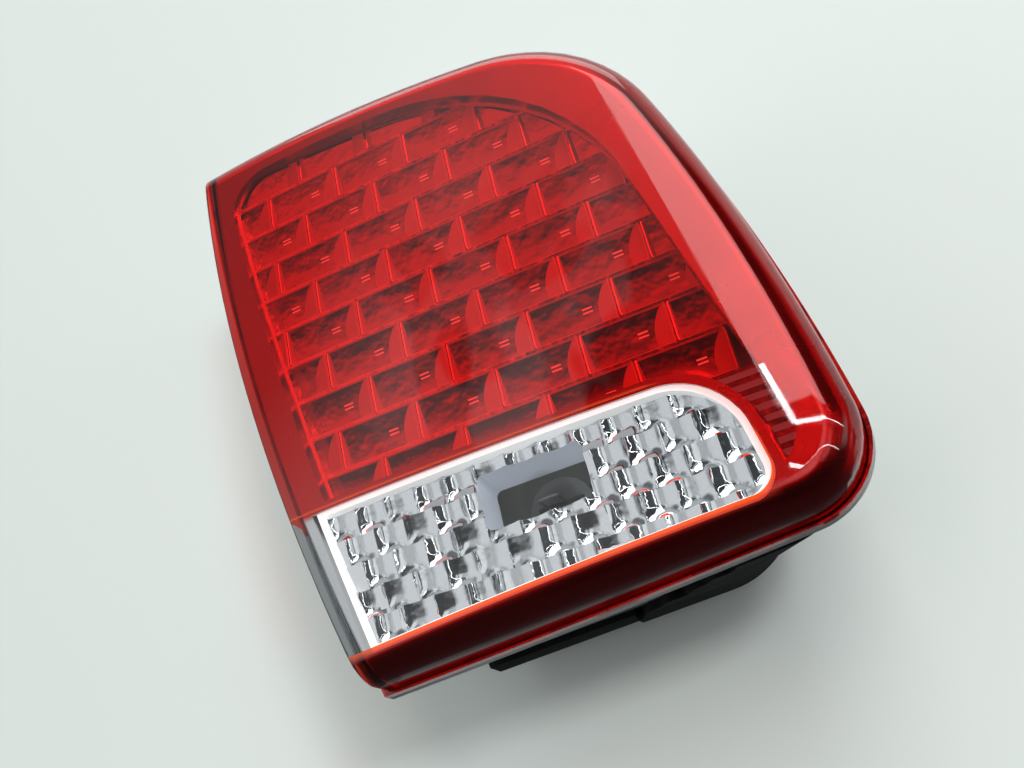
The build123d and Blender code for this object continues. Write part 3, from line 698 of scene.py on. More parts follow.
def fused_seam():
    """The seam where the red shot is fused to the clear one: no mirror, just a warm tint."""
    material, tree = new_material("fused seam")
    tint = node(tree, "ShaderNodeBsdfTransparent", {"Color": linear("#ffb487")})
    node(tree, "ShaderNodeOutputMaterial", {"Surface": tint})
    return material


# The red shot has warm orange light painted along the edge of its window.
red_acrylic = acrylic("red acrylic", "#f24640", "#f68883", painted_edge_light="#ff6a20")
clear_acrylic = acrylic("clear acrylic", "#f8fafa", "#fcfdfd")
# The left wall of the clear shot is frosted and grey, and hides what is behind it; the grey is partly
# painted shade, of the housing seen through it.
frosted_shaded_acrylic = acrylic("frosted clear acrylic", "#a2a9b0", "#c4c9ce", haze=0.6)
bulb_glass = acrylic("soda-lime bulb glass", "#f6f8f6", "#fbfcfb", haze=0.2)
seam = fused_seam()
print("glassy finishes:", [m.name for m in (red_acrylic, clear_acrylic, frosted_shaded_acrylic, bulb_glass, seam)])

# %% [markdown]
# ## Plating
# The trim and the reflectors are plastic with a film of aluminium, laid on in a vacuum and sealed with
# lacquer. It is a true mirror, but a moulded wall is never quite flat, so the mirror image wobbles. A
# slow noise as bump gives that wobble, and a second one makes the lacquer bloom a little here and there.

# %% Plated finishes
bloom_size = 30 * MM
bloom_share = 1.5


def plated(name, colour, roughness, wobble_size, wobble):
    """Vacuum-plated plastic: wobble_size is the width of the waves in metres and wobble their height."""
    material, tree = new_material(name)
    place = node(tree, "ShaderNodeTexCoord", out="Object")
    waves = node(tree, "ShaderNodeTexNoise", {"Vector": place, "Scale": 1 / wobble_size, "Detail": 2.0})
    bump = node(tree, "ShaderNodeBump", {"Height": waves, "Distance": wobble, "Strength": 1.0})
    bloom = node(tree, "ShaderNodeTexNoise", {"Vector": place, "Scale": 1 / bloom_size})
    rough = node(tree, "ShaderNodeMapRange", {0: bloom, 1: 0.3, 2: 0.8, 3: roughness,
                                              4: roughness * bloom_share})
    metal = node(tree, "ShaderNodeBsdfPrincipled", {
        "Base Color": linear(colour), "Metallic": 1.0, "Roughness": rough, "Normal": bump})
    node(tree, "ShaderNodeOutputMaterial", {"Surface": metal})
    return material


satin_plating = plated("satin aluminium plating", "#b9babd", 0.25, 22 * MM, 0.10 * MM)
bright_plating = plated("bright aluminium plating", "#eeeff1", 0.12, 6 * MM, 0.28 * MM)
mirror_plating = plated("mirror aluminium plating", "#c2c4c8", 0.03, 5 * MM, 0.16 * MM)
print("plated finishes:", [m.name for m in (satin_plating, bright_plating, mirror_plating)])

# %% [markdown]
# ## Opaque plastics, rubbers and metals
# The housing is a plain moulding with a fine spark-eroded grain. The grey and black parts are nylon,
# rubber or foam. They share one recipe: a base colour that drifts a little, and grain as bump at its real
# size. Pale lacquer and LED ceramic lie deep in the lamp and scatter light there more often than a render
# follows it, so a faint painted glow of their own makes up for that. This painted light keeps the LED rails,
# the band round the flutes and the walls of the bulb's opening and of the rib slots light.

# %% Opaque finishes
drift_size = 25 * MM


def moulded(name, colour, roughness, grain_size, grain, drift=0.12, metallic=0.0, glow=0.0):
    """A solid finish whose colour drifts a little, with grain of a real size in metres and a faint painted
    glow.
    """
    material, tree = new_material(name)
    place = node(tree, "ShaderNodeTexCoord", out="Object")
    clouds = node(tree, "ShaderNodeTexNoise", {"Vector": place, "Scale": 1 / drift_size, "Detail": 3.0})
    tone = node(tree, "ShaderNodeMapRange", {0: clouds, 1: 0.25, 2: 0.75, 3: 1 - drift, 4: 1 + drift})
    base = node(tree, "ShaderNodeMix", {0: 1.0, 6: linear(colour), 7: tone}, out=2, data_type="RGBA",
                blend_type="MULTIPLY")
    pits = node(tree, "ShaderNodeTexNoise", {"Vector": place, "Scale": 1 / grain_size, "Detail": 2.0})
    bump = node(tree, "ShaderNodeBump", {"Height": pits, "Distance": grain, "Strength": 1.0})
    rough = node(tree, "ShaderNodeMapRange", {0: clouds, 1: 0.3, 2: 0.7, 3: roughness * 0.9,
                                              4: min(roughness * 1.15, 1.0)})
    solid = node(tree, "ShaderNodeBsdfPrincipled", {
        "Base Color": base, "Metallic": metallic, "Roughness": rough, "Normal": bump,
        "Emission Color": linear(colour), "Emission Strength": glow})
    node(tree, "ShaderNodeOutputMaterial", {"Surface": solid})
    return material


grey_abs = moulded("light grey ABS", "#b4bab8", 0.42, 0.8 * MM, 0.02 * MM, 0.05)
black_foam = moulded("closed-cell EPDM foam", "#0e0e0f", 0.9, 0.9 * MM, 0.25 * MM, 0.3)
holder_nylon = moulded("grey glass-filled nylon", "#999b9d", 0.5, 0.6 * MM, 0.03 * MM)
dark_nylon = moulded("dark grey nylon", "#616364", 0.5, 0.6 * MM, 0.03 * MM)
seal_silicone = moulded("red-brown silicone", "#9f5946", 0.55, 0.5 * MM, 0.02 * MM)
black_rubber = moulded("moulded rubber", "#363637", 0.65, 0.5 * MM, 0.02 * MM)
black_butyl = moulded("butyl sealant", "#1a1a1b", 0.6, 2.0 * MM, 0.1 * MM)
zinc_steel = moulded("zinc-plated steel", "#b9bcc0", 0.3, 0.7 * MM, 0.01 * MM, 0.1, 1.0)
brass = moulded("tinned brass", "#d8b878", 0.3, 0.7 * MM, 0.01 * MM, 0.1, 1.0)
tungsten = moulded("tungsten wire", "#8c8a88", 0.4, 0.5 * MM, 0.01 * MM, 0.1, 1.0)
board_mask = moulded("white solder mask", "#e0e2de", 0.4, 0.8 * MM, 0.01 * MM, 0.04)
# These three get a faint painted glow, which is painted light.
led_ceramic_painted_glow = moulded("white LED ceramic", "#f4f2ea", 0.35, 0.6 * MM, 0.01 * MM, 0.03, glow=0.5)
grey_satin_painted_glow = moulded("grey satin lacquer", "#b2b8c2", 0.4, 1.0 * MM, 0.01 * MM, 0.04, glow=0.35)
white_satin_painted_glow = moulded("white satin lacquer", "#f2f3f2", 0.38, 1.0 * MM, 0.01 * MM, 0.02, glow=0.55)
frosted_plating = moulded("frosted plating", "#f0f0f2", 0.5, 1.0 * MM, 0.01 * MM, 0.06)
print("finishes in all:", len(bpy.data.materials))

# %% [markdown]
# ## Lens
# The two shots of the lens are one cap, cut apart along the edge of the window. The cut could be drawn
# into the rings, but its rounded corners would fight their flow of faces, so an exact boolean does it.
# Long cut faces shade badly on a dome, so the crown gets the normals of its true sphere back.

# %% Normals and names
on_crown = 0.004
crown_face = 0.9
crown_centre_y = lens_front + crown_radius


def crown_normals(made, insets):
    """Gives the corners of faces that lie on the crown the normals of the sphere."""
    mesh = made.data
    corner_points = np.zeros(len(mesh.loops), dtype=np.int32)
    mesh.loops.foreach_get("vertex_index", corner_points)
    points = np.array([v.co for v in mesh.vertices])[corner_points] / MM
    normals = np.array([corner.vector for corner in mesh.corner_normals])
    flat = np.zeros((len(mesh.loops), 3))
    for face in mesh.polygons:
        flat[face.loop_start:face.loop_start + face.loop_total] = face.normal
    sphere = points - np.array((0.0, crown_centre_y, 0.0))
    sphere /= np.linalg.norm(sphere, axis=1)[:, None]
    facing = (flat * sphere).sum(axis=1)
    for inset in insets:
        near = np.abs(points[:, 1] - crown_height(points[:, 0], points[:, 2], inset)) < on_crown
        chosen = near & (np.abs(facing) > crown_face)
        normals[chosen] = sphere[chosen] * np.sign(facing[chosen])[:, None]
    mesh.normals_split_custom_set(normals.tolist())


def dress(made, slot, *stood_for):
    """Sets a finished piece on the lamp and hides the imported nodes that it stands for."""
    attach(made, "root")
    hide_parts(*stood_for)


def finish(made, name, material):
    """Names a worked piece and gives it its one material."""
    made.name = name
    made.data.materials.clear()
    made.data.materials.append(material)
    made.data.polygons.foreach_set("material_index", [0] * len(made.data.polygons))
    return made


print("crown's centre at y =", crown_centre_y, "mm")

# %% Lens in two shots
shot_gap = 0.02
cut_room = 1.0
seam_reach = 0.1
seam_face = 0.1
left_wall_face = -0.6


def window_loop(insets):
    """The window's outline with its sides moved inwards."""
    radii = (0.0, window_radii[1] - insets[0], window_radii[2] - insets[2], 0.0)
    return outline(window_corners, straight, radii, insets)[0]


def line_distance(loop, point):
    """Distance of a point from a closed line of points."""
    start, end = loop, np.roll(loop, -1, axis=0)
    along = end - start
    share = ((point - start) * along).sum(axis=1) / np.maximum((along ** 2).sum(axis=1), 1e-9)
    nearest = start + along * np.clip(share, 0.0, 1.0)[:, None]
    return np.hypot(*(point - nearest).T).min()


def window_tool(grow):
    """A solid through the lens along the window's edge, which runs on past the left of the lamp."""
    loop = window_loop((-grow, -grow, -grow, -far_left))
    return prism("window_tool", loop, lens_front - cut_room, lens_rear + cut_room)


red_shot = finish(boolean(lens_shell(), window_tool(shot_gap), "DIFFERENCE"), "red_lens_shot", red_acrylic)
clear_shot = finish(boolean(lens_shell(), window_tool(0.0), "INTERSECT"), "clear_lens_shot", clear_acrylic)
seam_line = window_loop((0.0, 0.0, 0.0, -far_left))
for shot in (red_shot, clear_shot):
    shot.data.materials.append(seam)
    for face in shot.data.polygons:
        middle = np.array((face.center.x, face.center.z)) / MM
        on_seam = line_distance(seam_line, middle) < seam_reach
        face.material_index = 1 if on_seam and abs(face.normal.y) < seam_face else 0
    crown_normals(shot, (0.0, lens_wall))
clear_shot.data.materials.append(frosted_shaded_acrylic)
for face in clear_shot.data.polygons:
    if face.normal.x < left_wall_face:
        face.material_index = 2
dress(red_shot, "red_acrylic", "red_lens")
dress(clear_shot, "clear_acrylic", "clear_lens")
print("lens faces:", len(red_shot.data.polygons), len(clear_shot.data.polygons))

# %% [markdown]
# ## Bezel
# The bezel is the plated skin that frames the bricks. It follows the lens a millimetre behind it, and its
# opening turns down into walls that reach the brick reflector. One solid with a pocket could be hollowed
# out, but skin and walls have different forms, so each is made by itself, and they meet edge to edge in
# one object.

# %% Bezel
trim_gap = 1.0
bezel_wall = 1.8
recess_wall = 1.5
window_clearance = 0.4
brick_front = -62.0
trim_inset = lens_wall + trim_gap


def field_block(grow, front, rear):
    """A solid with the outline of the brick field, with the window and its land left out of it."""
    radii = [r + grow if r else 0.0 for r in field_radii]
    whole = prism("field", outline(field_corners, field_bulges, radii, (-grow,) * 4)[0], front, rear)
    land = field_land - grow
    land_radii = (0.0, window_radii[1] + land, 0.0, 0.0)
    taken = outline(window_corners, straight, land_radii, (-land, -land, -far_left, -far_left))[0]
    return boolean(whole, prism("taken", taken, front - cut_room, rear + cut_room), "DIFFERENCE")


def joined(name, pieces):
    """One object from several, which keeps the materials of each."""
    whole = bmesh.new()
    materials = []
    for part in pieces:
        start = len(whole.faces)
        whole.from_mesh(part.data)
        whole.faces.ensure_lookup_table()
        first = len(materials)
        materials += list(part.data.materials)
        for face in whole.faces[start:]:
            face.material_index += first
        bpy.data.objects.remove(part)
    mesh = bpy.data.meshes.new(name)
    whole.to_mesh(mesh)
    whole.free()
    for material in materials:
        mesh.materials.append(material)
    smooth(mesh)
    return placed(name, mesh)


before, beyond = lens_front - cut_room, lens_rear + cut_room
window_hole = prism("window_hole", window_loop((-window_clearance,) * 4), before, beyond)
skin = trim_shell(trim_inset, bezel_wall, lens_rear)
skin = boolean(skin, field_block(recess_wall, before, beyond), "DIFFERENCE")
skin = boolean(skin, window_hole, "DIFFERENCE", keep_tool=True)
recess = field_block(recess_wall, lens_front, brick_front)
recess = boolean(recess, domed_block(trim_inset, lens_rear), "INTERSECT")
recess = boolean(recess, field_block(0.0, before, beyond), "DIFFERENCE")
recess = boolean(recess, window_hole, "DIFFERENCE")
bezel = finish(joined("bezel_skin", (skin, recess)), "bezel_skin", satin_plating)
crown_normals(bezel, (trim_inset,))
dress(bezel, "plated_trim", "bezel")
print("bezel faces:", len(bezel.data.polygons))

# %% [markdown]
# ## Brick reflector
# Ten rows of shallow pockets in running bond give the lamp its brick pattern. A pocket is deeper at its
# foot, its floor is slightly hollow, and its right end is a frosted facet that widens downwards. One
# pocket could be drawn eighty times by hand. Instead it is built once as a strip of cross sections, with
# rounded lips, and Geometry Nodes lays it out in rows, with every second row moved by half a brick. A
# hair of air between the copies keeps each one a clean solid, so one cut can trim them all to the outline
# of the field.

# %% Sections of a pocket
brick_plate = 12.0
brick_pitch = 27.0
row_pitch = 14.0
brick_wall = 1.6
pocket_top_depth = 1.2
pocket_foot_depth = 5.2
pocket_sag = 0.2
facet_top = 1.4
facet_foot = 5.2
facet_rise = 0.7
left_slope = math.tan(math.radians(6.0))
lip = 0.3
left_lip_share = 0.3
right_lip_share = 0.2
hair = 0.01
floor_columns = 6
brick_back = brick_front + brick_plate
pocket_half = (brick_pitch - brick_wall) / 2
pocket_rise = (row_pitch - brick_wall) / 2
cell_half = brick_pitch / 2 - hair
cell_rise = row_pitch / 2 - hair


def floor_depth(z):
    """Depth of the hollow floor under the face of the plate, at a height in the pocket."""
    share = (pocket_rise - z) / (2 * pocket_rise)
    hollow = 4 * pocket_sag * share * (1 - share)
    return pocket_top_depth + (pocket_foot_depth - pocket_top_depth) * share + hollow


def section(z, depth):
    """Points across the pocket at a height: wall, lip, left end, floor, right end, lip and wall."""
    share = min((pocket_rise - z) / (2 * pocket_rise * facet_rise), 1.0)
    left = -pocket_half + depth * left_slope
    right = pocket_half - facet_top - (facet_foot - facet_top) * (1 - (1 - share) ** 2)
    left_lip, right_lip = lip * left_lip_share, lip * right_lip_share
    line = [(-cell_half, 0.0), (-pocket_half - lip, 0.0), (-pocket_half - left_lip, left_lip)]
    line += [(-pocket_half + lip * left_slope, min(lip, depth))]
    line += [(x, depth) for x in np.linspace(left, right, floor_columns)]
    line += [(pocket_half - lip, min(lip, depth)), (pocket_half + right_lip, right_lip)]
    line += [(pocket_half + lip, 0.0), (cell_half, 0.0)]
    return [(x, brick_front + max(d, 0.0) if depth else brick_front, z) for x, d in line]


print("pocket:", 2 * pocket_half, "by", 2 * pocket_rise, "mm, points in a section:", len(section(0.0, 1.0)))

# %% One pocket
floor_steps = 14


def sheet_faces(width, height):
    """Quads of a sheet of points, row after row."""
    corners = [i * width + j for i in range(height - 1) for j in range(width - 1)]
    return [(a, a + 1, a + width + 1, a + width) for a in corners]


def sheet_walls(width, height):
    """Faces that close a sheet with four more points behind its corners, in the order of its outline."""
    last = width * height
    first_row, last_row = tuple(range(width)), tuple(range(last - width, last))
    left, right = tuple(range(0, last, width)), tuple(range(width - 1, last, width))
    walls = [first_row + (last + 1, last), last_row + (last + 2, last + 3)]
    return walls + [left + (last + 3, last), right + (last + 2, last + 1), tuple(range(last, last + 4))]


heights = np.linspace(pocket_rise, -pocket_rise, floor_steps)
rows = [section(cell_rise, 0.0), section(pocket_rise + lip, 0.0), section(pocket_rise, lip)]
rows += [section(z, floor_depth(z)) for z in heights]
rows += [section(-pocket_rise, lip), section(-pocket_rise - lip, 0.0), section(-cell_rise, 0.0)]
row_size = len(rows[0])
cell_points = [p for row in rows for p in row]
cell_points += [(-cell_half, brick_back, cell_rise), (cell_half, brick_back, cell_rise)]
cell_points += [(cell_half, brick_back, -cell_rise), (-cell_half, brick_back, -cell_rise)]
cell_faces = sheet_faces(row_size, len(rows)) + sheet_walls(row_size, len(rows))
cell = piece("brick_cell", cell_points, cell_faces)
print("pocket faces:", len(cell.data.polygons))

# %% [markdown]
# The LED of a pocket sits in a slot in the back of the plate, under a thin cover. The plating is frosted
# on the steep faces of a pocket and on the facet at its right end. They are marked by an attribute, so
# that the rows of copies can still tell them apart.

# %% Slot and frosted faces
led_across = 4.4
led_up = 0.2
led_size = (3.5, 2.8)
led_clearance = 0.1
slot_cover = 1.2
steep_face = -0.8
facet_face = -0.15


def box_loop(middle, size):
    """Corners of a rectangle by its middle and size, clockwise from the top left."""
    (x, z), (w, h) = middle, size
    left, right, top, foot = x - w / 2, x + w / 2, z + h / 2, z - h / 2
    return ((left, top), (right, top), (right, foot), (left, foot))


def block(name, middle, size, front, rear):
    """A box by the middle and size of its face and by its front and rear depth."""
    return prism(name, box_loop(middle, size), front, rear)


slot_size = [side + 2 * led_clearance for side in led_size]
slot_top = brick_front + floor_depth(led_up) + slot_cover
slot_tool = block("led_slot", (led_across, led_up), slot_size, slot_top, brick_back + cut_room)
boolean(cell, slot_tool, "DIFFERENCE")
facets = cell.data.attributes.new("facet", "BOOLEAN", "FACE")
for face, facet in zip(cell.data.polygons, facets.data):
    facet.value = face.normal.y > steep_face or face.normal.x < facet_face
print("frosted faces:", sum(facet.value for facet in facets.data))

# %% Node group for the rows


def group_with(name, inputs):
    """A Geometry Nodes group with a mesh in and out and more inputs, each a name and a kind of socket."""
    group = bpy.data.node_groups.new(name, "GeometryNodeTree")
    group.interface.new_socket(name="Geometry", in_out="INPUT", socket_type="NodeSocketGeometry")
    for label, kind in inputs:
        group.interface.new_socket(name=label, in_out="INPUT", socket_type="NodeSocket" + kind)
    group.interface.new_socket(name="Geometry", in_out="OUTPUT", socket_type="NodeSocketGeometry")
    return group


def grown_by(made, group, values):
    """Runs a group on an object, with the group's inputs set by name, and keeps the result as a mesh."""
    step = made.modifiers.new(group.name, "NODES")
    step.node_group = group
    for item in group.interface.items_tree:
        if item.in_out == "INPUT" and item.name in values:
            step[item.identifier] = values[item.name]
    return baked(made)


def running_bond():
    """A group that lays copies of a brick out in rows, with odd rows moved by half a brick."""
    group = group_with("running bond", (
        ("Brick", "Object"), ("Rows", "Int"), ("Bricks", "Int"), ("Pitch", "Float"), ("Row Pitch", "Float"),
        ("Left", "Float"), ("Top", "Float"), ("Material", "Material"), ("Facet Material", "Material")))
    given = node(group, "NodeGroupInput").node.outputs
    index = node(group, "GeometryNodeInputIndex")
    count = node(group, "ShaderNodeMath", {0: given["Rows"], 1: given["Bricks"]}, operation="MULTIPLY")
    laid_rows = node(group, "ShaderNodeMath", {0: index, 1: given["Bricks"]}, operation="DIVIDE")
    row = node(group, "ShaderNodeMath", {0: laid_rows}, operation="FLOOR")
    column = node(group, "ShaderNodeMath", {0: index, 1: given["Bricks"]}, operation="MODULO")
    odd = node(group, "ShaderNodeMath", {0: row, 1: 2.0}, operation="MODULO")
    steps = node(group, "ShaderNodeMath", {0: odd, 1: 0.5, 2: column}, operation="MULTIPLY_ADD")
    across = node(group, "ShaderNodeMath", {0: steps, 1: given["Pitch"]}, operation="MULTIPLY")
    x = node(group, "ShaderNodeMath", {0: given["Left"], 1: across}, operation="ADD")
    middle = node(group, "ShaderNodeMath", {0: row, 1: 0.5}, operation="ADD")
    down = node(group, "ShaderNodeMath", {0: middle, 1: given["Row Pitch"]}, operation="MULTIPLY")
    z = node(group, "ShaderNodeMath", {0: given["Top"], 1: down}, operation="SUBTRACT")
    place = node(group, "ShaderNodeCombineXYZ", {0: x, 2: z})
    points = node(group, "GeometryNodePoints", {"Count": count, "Position": place})
    brick = node(group, "GeometryNodeObjectInfo", {"Object": given["Brick"]}, out="Geometry")
    laid = node(group, "GeometryNodeInstanceOnPoints", {"Points": points, "Instance": brick})
    real = node(group, "GeometryNodeRealizeInstances", {0: laid})
    painted = node(group, "GeometryNodeSetMaterial", {"Geometry": real, "Material": given["Material"]})
    facet = node(group, "GeometryNodeInputNamedAttribute", {"Name": "facet"}, data_type="BOOLEAN")
    frosted = node(group, "GeometryNodeSetMaterial", {
        "Geometry": painted, "Selection": facet, "Material": given["Facet Material"]})
    node(group, "NodeGroupOutput", {0: frosted})
    return group


bond = running_bond()
print("nodes in the running bond:", len(bond.nodes))

# %% Rows of pockets
brick_rows = 10
bricks_in_row = 8
first_row_top = 94.0
first_row_start = -95.0
field_rim = 0.8

bricks = grown_by(placed("bricks", bpy.data.meshes.new("bricks")), bond, {
    "Brick": cell, "Rows": brick_rows, "Bricks": bricks_in_row, "Pitch": brick_pitch * MM,
    "Row Pitch": row_pitch * MM, "Left": first_row_start * MM, "Top": first_row_top * MM,
    "Material": bright_plating, "Facet Material": frosted_plating})
bpy.data.objects.remove(cell)
boolean(bricks, field_block(-field_rim, brick_front - cut_room, brick_back - hair), "INTERSECT")
print("brick faces:", len(bricks.data.polygons))

# %% [markdown]
# Round the bricks runs a plain rim, which the bezel stands on. Under the last row, beside the window, the
# plate has eight narrow slots with ribs between them. Inside, the slots are lacquered grey in place of the
# plating, which paints them darker than the plate, as painted shade deep in the slots.

# %% Rim and ribs of the reflector
reflector_rim = 2.4
rib_pitch = 3.5
rib_wall = 1.7
rib_depth = 7.0
rib_count = 8
rib_top = first_row_top - brick_rows * row_pitch
rib_left = window_corners[1][0] - field_land
rib_right = field_corners[2][0]
rib_middle = (rib_left + rib_right) / 2
rib_size = (rib_right - rib_left, rib_pitch - rib_wall)

rim = field_block(reflector_rim, brick_front, brick_back)
boolean(rim, field_block(-field_rim, brick_front - cut_room, brick_back + cut_room), "DIFFERENCE")
ribs = field_block(-field_rim, brick_front, brick_back)
under_rows = block("under_rows", (rib_middle, rib_top - far_left / 2), (far_left, far_left),
                   lens_front, lens_rear + far_left)
boolean(ribs, under_rows, "INTERSECT")
for index in range(rib_count):
    rib_slot = block("rib_slot", (rib_middle, rib_top - (index + 0.5) * rib_pitch), rib_size,
                     brick_front - cut_room, brick_front + rib_depth)
    boolean(ribs, rib_slot, "DIFFERENCE")
for part in (rim, ribs):
    finish(part, part.name, bright_plating)
# The grey lacquer in the slots is painted shade.
ribs.data.materials.append(grey_satin_painted_glow)
for face in ribs.data.polygons:
    in_slot = brick_front + hair < face.center.y / MM < brick_back - hair
    face.material_index = 1 if in_slot else 0
brick_plate_skin = joined("brick_reflector_skin", (bricks, rim, ribs))
dress(brick_plate_skin, "plated_trim", "brick_reflector")
print("reflector faces:", len(brick_plate_skin.data.polygons))

# %% [markdown]
# ## LEDs
# Each whole brick has one LED behind it, on the board. All that shows of it is two short pale rails that
# come through the floor of the pocket near its right foot; a faint painted glow stands in for their
# highlights. The package itself stays hidden in its slot.
# One package with its rails is made, and Geometry Nodes sets it at its place in every whole brick. A
# brick counts as whole if the board's place for its LED is well inside the field and clear of the window.

# %% Places of the LEDs
board_across = 2.8
board_up = 2.0
led_margin = 6.0


def inside(corners, point, margin):
    """True if a point is at least a margin inside all sides of a clockwise outline."""
    for i in range(4):
        start, end = moved_side(corners[i], corners[(i + 1) % 4], margin)
        along, out = end - start, np.array(point) - start
        if along[0] * out[1] - along[1] * out[0] > 0:
            return False
    return True


taken_corners = inset_corners(window_corners, (-field_land, -field_land, -far_left, -far_left))
led_places = []
for row in range(brick_rows):
    for column in range(bricks_in_row):
        x = first_row_start + (column + (row % 2) / 2) * brick_pitch
        z = first_row_top - (row + 0.5) * row_pitch
        chip = (x + board_across, z + board_up)
        if inside(field_corners, chip, led_margin) and not inside(taken_corners, chip, -led_margin):
            led_places.append((x + led_across, 0.0, z + led_up))
print("LEDs:", len(led_places))

# %% LED packages
rail_size = (3.0, 0.4)
rail_shift = 0.6
rail_proud = 0.5


def set_at_points():
    """A group that sets a copy of an object at every point of a mesh and gives it its finish."""
    group = group_with("set at points", (("Part", "Object"), ("Material", "Material")))
    given = node(group, "NodeGroupInput").node.outputs
    part = node(group, "GeometryNodeObjectInfo", {"Object": given["Part"]}, out="Geometry")
    laid = node(group, "GeometryNodeInstanceOnPoints", {"Points": given["Geometry"], "Instance": part})
    real = node(group, "GeometryNodeRealizeInstances", {0: laid})
    painted = node(group, "GeometryNodeSetMaterial", {"Geometry": real, "Material": given["Material"]})
    node(group, "NodeGroupOutput", {0: painted})
    return group


package_top = slot_top + led_clearance
led_parts = [block("package", (0, 0), led_size, package_top, brick_back)]
for side in (1, -1):
    rail_front = brick_front + floor_depth(led_up + side * rail_shift) - rail_proud
    led_parts.append(block("rail", (0, side * rail_shift), rail_size, rail_front, package_top + hair))
led = joined("led", led_parts)
spots = set_at_points()
leds = grown_by(piece("led_packages", led_places, []), spots, {"Part": led, "Material": led_ceramic_painted_glow})
bpy.data.objects.remove(led)
dress(leds, "led_package", "led_chips")
print("LED faces:", len(leds.data.polygons))

# %% [markdown]
# ## Reversing reflector
# Behind the clear window stand five rows of upright flutes, each a shallow scoop with a round foot that
# leans forward as it goes up. Each row starts half a flute further on. They could be cut one by one, but
# one formula gives the depth of every point of the bowl. Each flute gets its own hollow, tilt and nod,
# within limits, so its mirror image differs from its neighbours', as it does on the real lamp. A grid of
# such points makes the skin, and the bowl's outline trims it.

# %% Depth of the flutes
reverse_back = -46.0
reverse_insets = (0.1, 0.1, 0.1, 1.1)
bands = (1.5, 2.0, 1.0, 1.8)
flute_rows = 5
flute_count = 14
flute_sag = 1.7
flute_ridge = -68.0
flute_bow = 0.3
flute_lean = 2.0
flute_foot = 0.45
flute_change = 0.5
flute_tilt = 0.9
flute_nod = 0.7
flute_seed = 7
spare_flutes = 3

bowl_insets = [gap + band for gap, band in zip(reverse_insets, bands)]
bowl_corners = inset_corners(window_corners, bowl_insets)
bowl_left, bowl_right = bowl_corners[0][0], bowl_corners[2][0]
bowl_top = max(corner[1] for corner in bowl_corners)
bowl_foot = min(corner[1] for corner in bowl_corners)
flute_height = (bowl_top - bowl_foot) / flute_rows
flute_pitch = (bowl_right - bowl_left) / (flute_count - 1)
chance = np.random.default_rng(flute_seed)
flute_shape = (flute_rows, flute_count + spare_flutes)
sag_change = 1 + flute_change * chance.uniform(-1, 1, flute_shape)
tilt_change = flute_tilt * chance.uniform(-1, 1, flute_shape)
nod_change = flute_nod * chance.uniform(-1, 1, flute_shape)


def flute_depth(x, row, up):
    """Depth of the flutes at places x along a row, at a share up of the row's height."""
    along = (x - bowl_left) / flute_pitch + (row % 2) / 2
    number = np.floor(along)
    share = along - number
    hollow = 4 * share * (1 - share)
    which = number.astype(int) + 1
    from_middle = (2 * x - bowl_left - bowl_right) / (bowl_right - bowl_left)
    ridge = flute_ridge - flute_bow * np.square(from_middle)
    foot = 1 - (1 - min(up / flute_foot, 1.0)) ** 2
    turned = tilt_change[row, which] * (share - 0.5) + nod_change[row, which] * (up - 0.5)
    return ridge + flute_sag * sag_change[row, which] * hollow * foot - flute_lean * up + turned


print("flutes:", round(flute_pitch, 2), "by", round(flute_height, 2), "mm")

# %% Sheet of flutes
column_step = 0.35
steps_in_row = 9
side_overlap = 2.0
end_overlap = 1.0

columns = np.arange(bowl_left - side_overlap, bowl_right + side_overlap, column_step)
sheet = []
for row in range(flute_rows):
    for up in np.linspace(0, 1, steps_in_row):
        z = bowl_foot + (row + up) * flute_height
        sheet.append(np.column_stack((columns, flute_depth(columns, row, up), np.full(len(columns), z))))
sheet[0][:, 2] -= end_overlap
sheet[-1][:, 2] += end_overlap
width, height = len(columns), len(sheet)
low, high = sheet[0][0][2], sheet[-1][0][2]
back_corners = ((columns[0], low), (columns[-1], low), (columns[-1], high), (columns[0], high))
flute_points = list(np.vstack(sheet)) + [(x, reverse_back, z) for x, z in back_corners]
flutes = piece("flutes", flute_points, sheet_faces(width, height) + sheet_walls(width, height))
print("points of the sheet:", width, "by", height)

# %% [markdown]
# The bulb stands in a round-cornered opening in the flutes. The walls of the opening are lacquered grey,
# so they don't mirror the bulb, and their faint painted glow keeps them light deep in the opening.

# %% Flutes with the bulb's opening
bulb_middle = (4.0, -59.3)
bulb_opening = (32.0, 16.6)
bulb_opening_radius = 2.0
wall_face = 0.05


def rounded_block(name, middle, size, radius, front, rear):
    """A box with round upright corners."""
    loop = outline(box_loop(middle, size), straight, (radius,) * 4, straight, 2, 6)[0]
    return prism(name, loop, front, rear)


bowl_radii = (0.0, window_radii[1] - bowl_insets[0], window_radii[2] - bowl_insets[2], 0.0)
bowl_loop = outline(window_corners, straight, bowl_radii, bowl_insets)[0]
bowl_back = reverse_back + cut_room
boolean(flutes, prism("bowl", bowl_loop, lens_front, bowl_back), "INTERSECT")
bulb_hole = rounded_block("bulb_hole", bulb_middle, bulb_opening, bulb_opening_radius, lens_front, bowl_back)
boolean(flutes, bulb_hole, "DIFFERENCE")
finish(flutes, "flutes", mirror_plating)
flutes.data.materials.append(grey_satin_painted_glow)
for face in flutes.data.polygons:
    x, y, z = Vector(face.center) / MM - Vector((bulb_middle[0], 0, bulb_middle[1]))
    in_hole = abs(x) < bulb_opening[0] / 2 + hair and abs(z) < bulb_opening[1] / 2 + hair
    if in_hole and abs(face.normal.y) < wall_face:
        face.material_index = 1
print("flute faces:", len(flutes.data.polygons))

# %% [markdown]
# A plain band frames the flutes and fills the window up to its edge. On the real lamp it is lacquered
# matt white; here a faint painted glow keeps it pale too, so it shows as a clean pale line round the flutes.

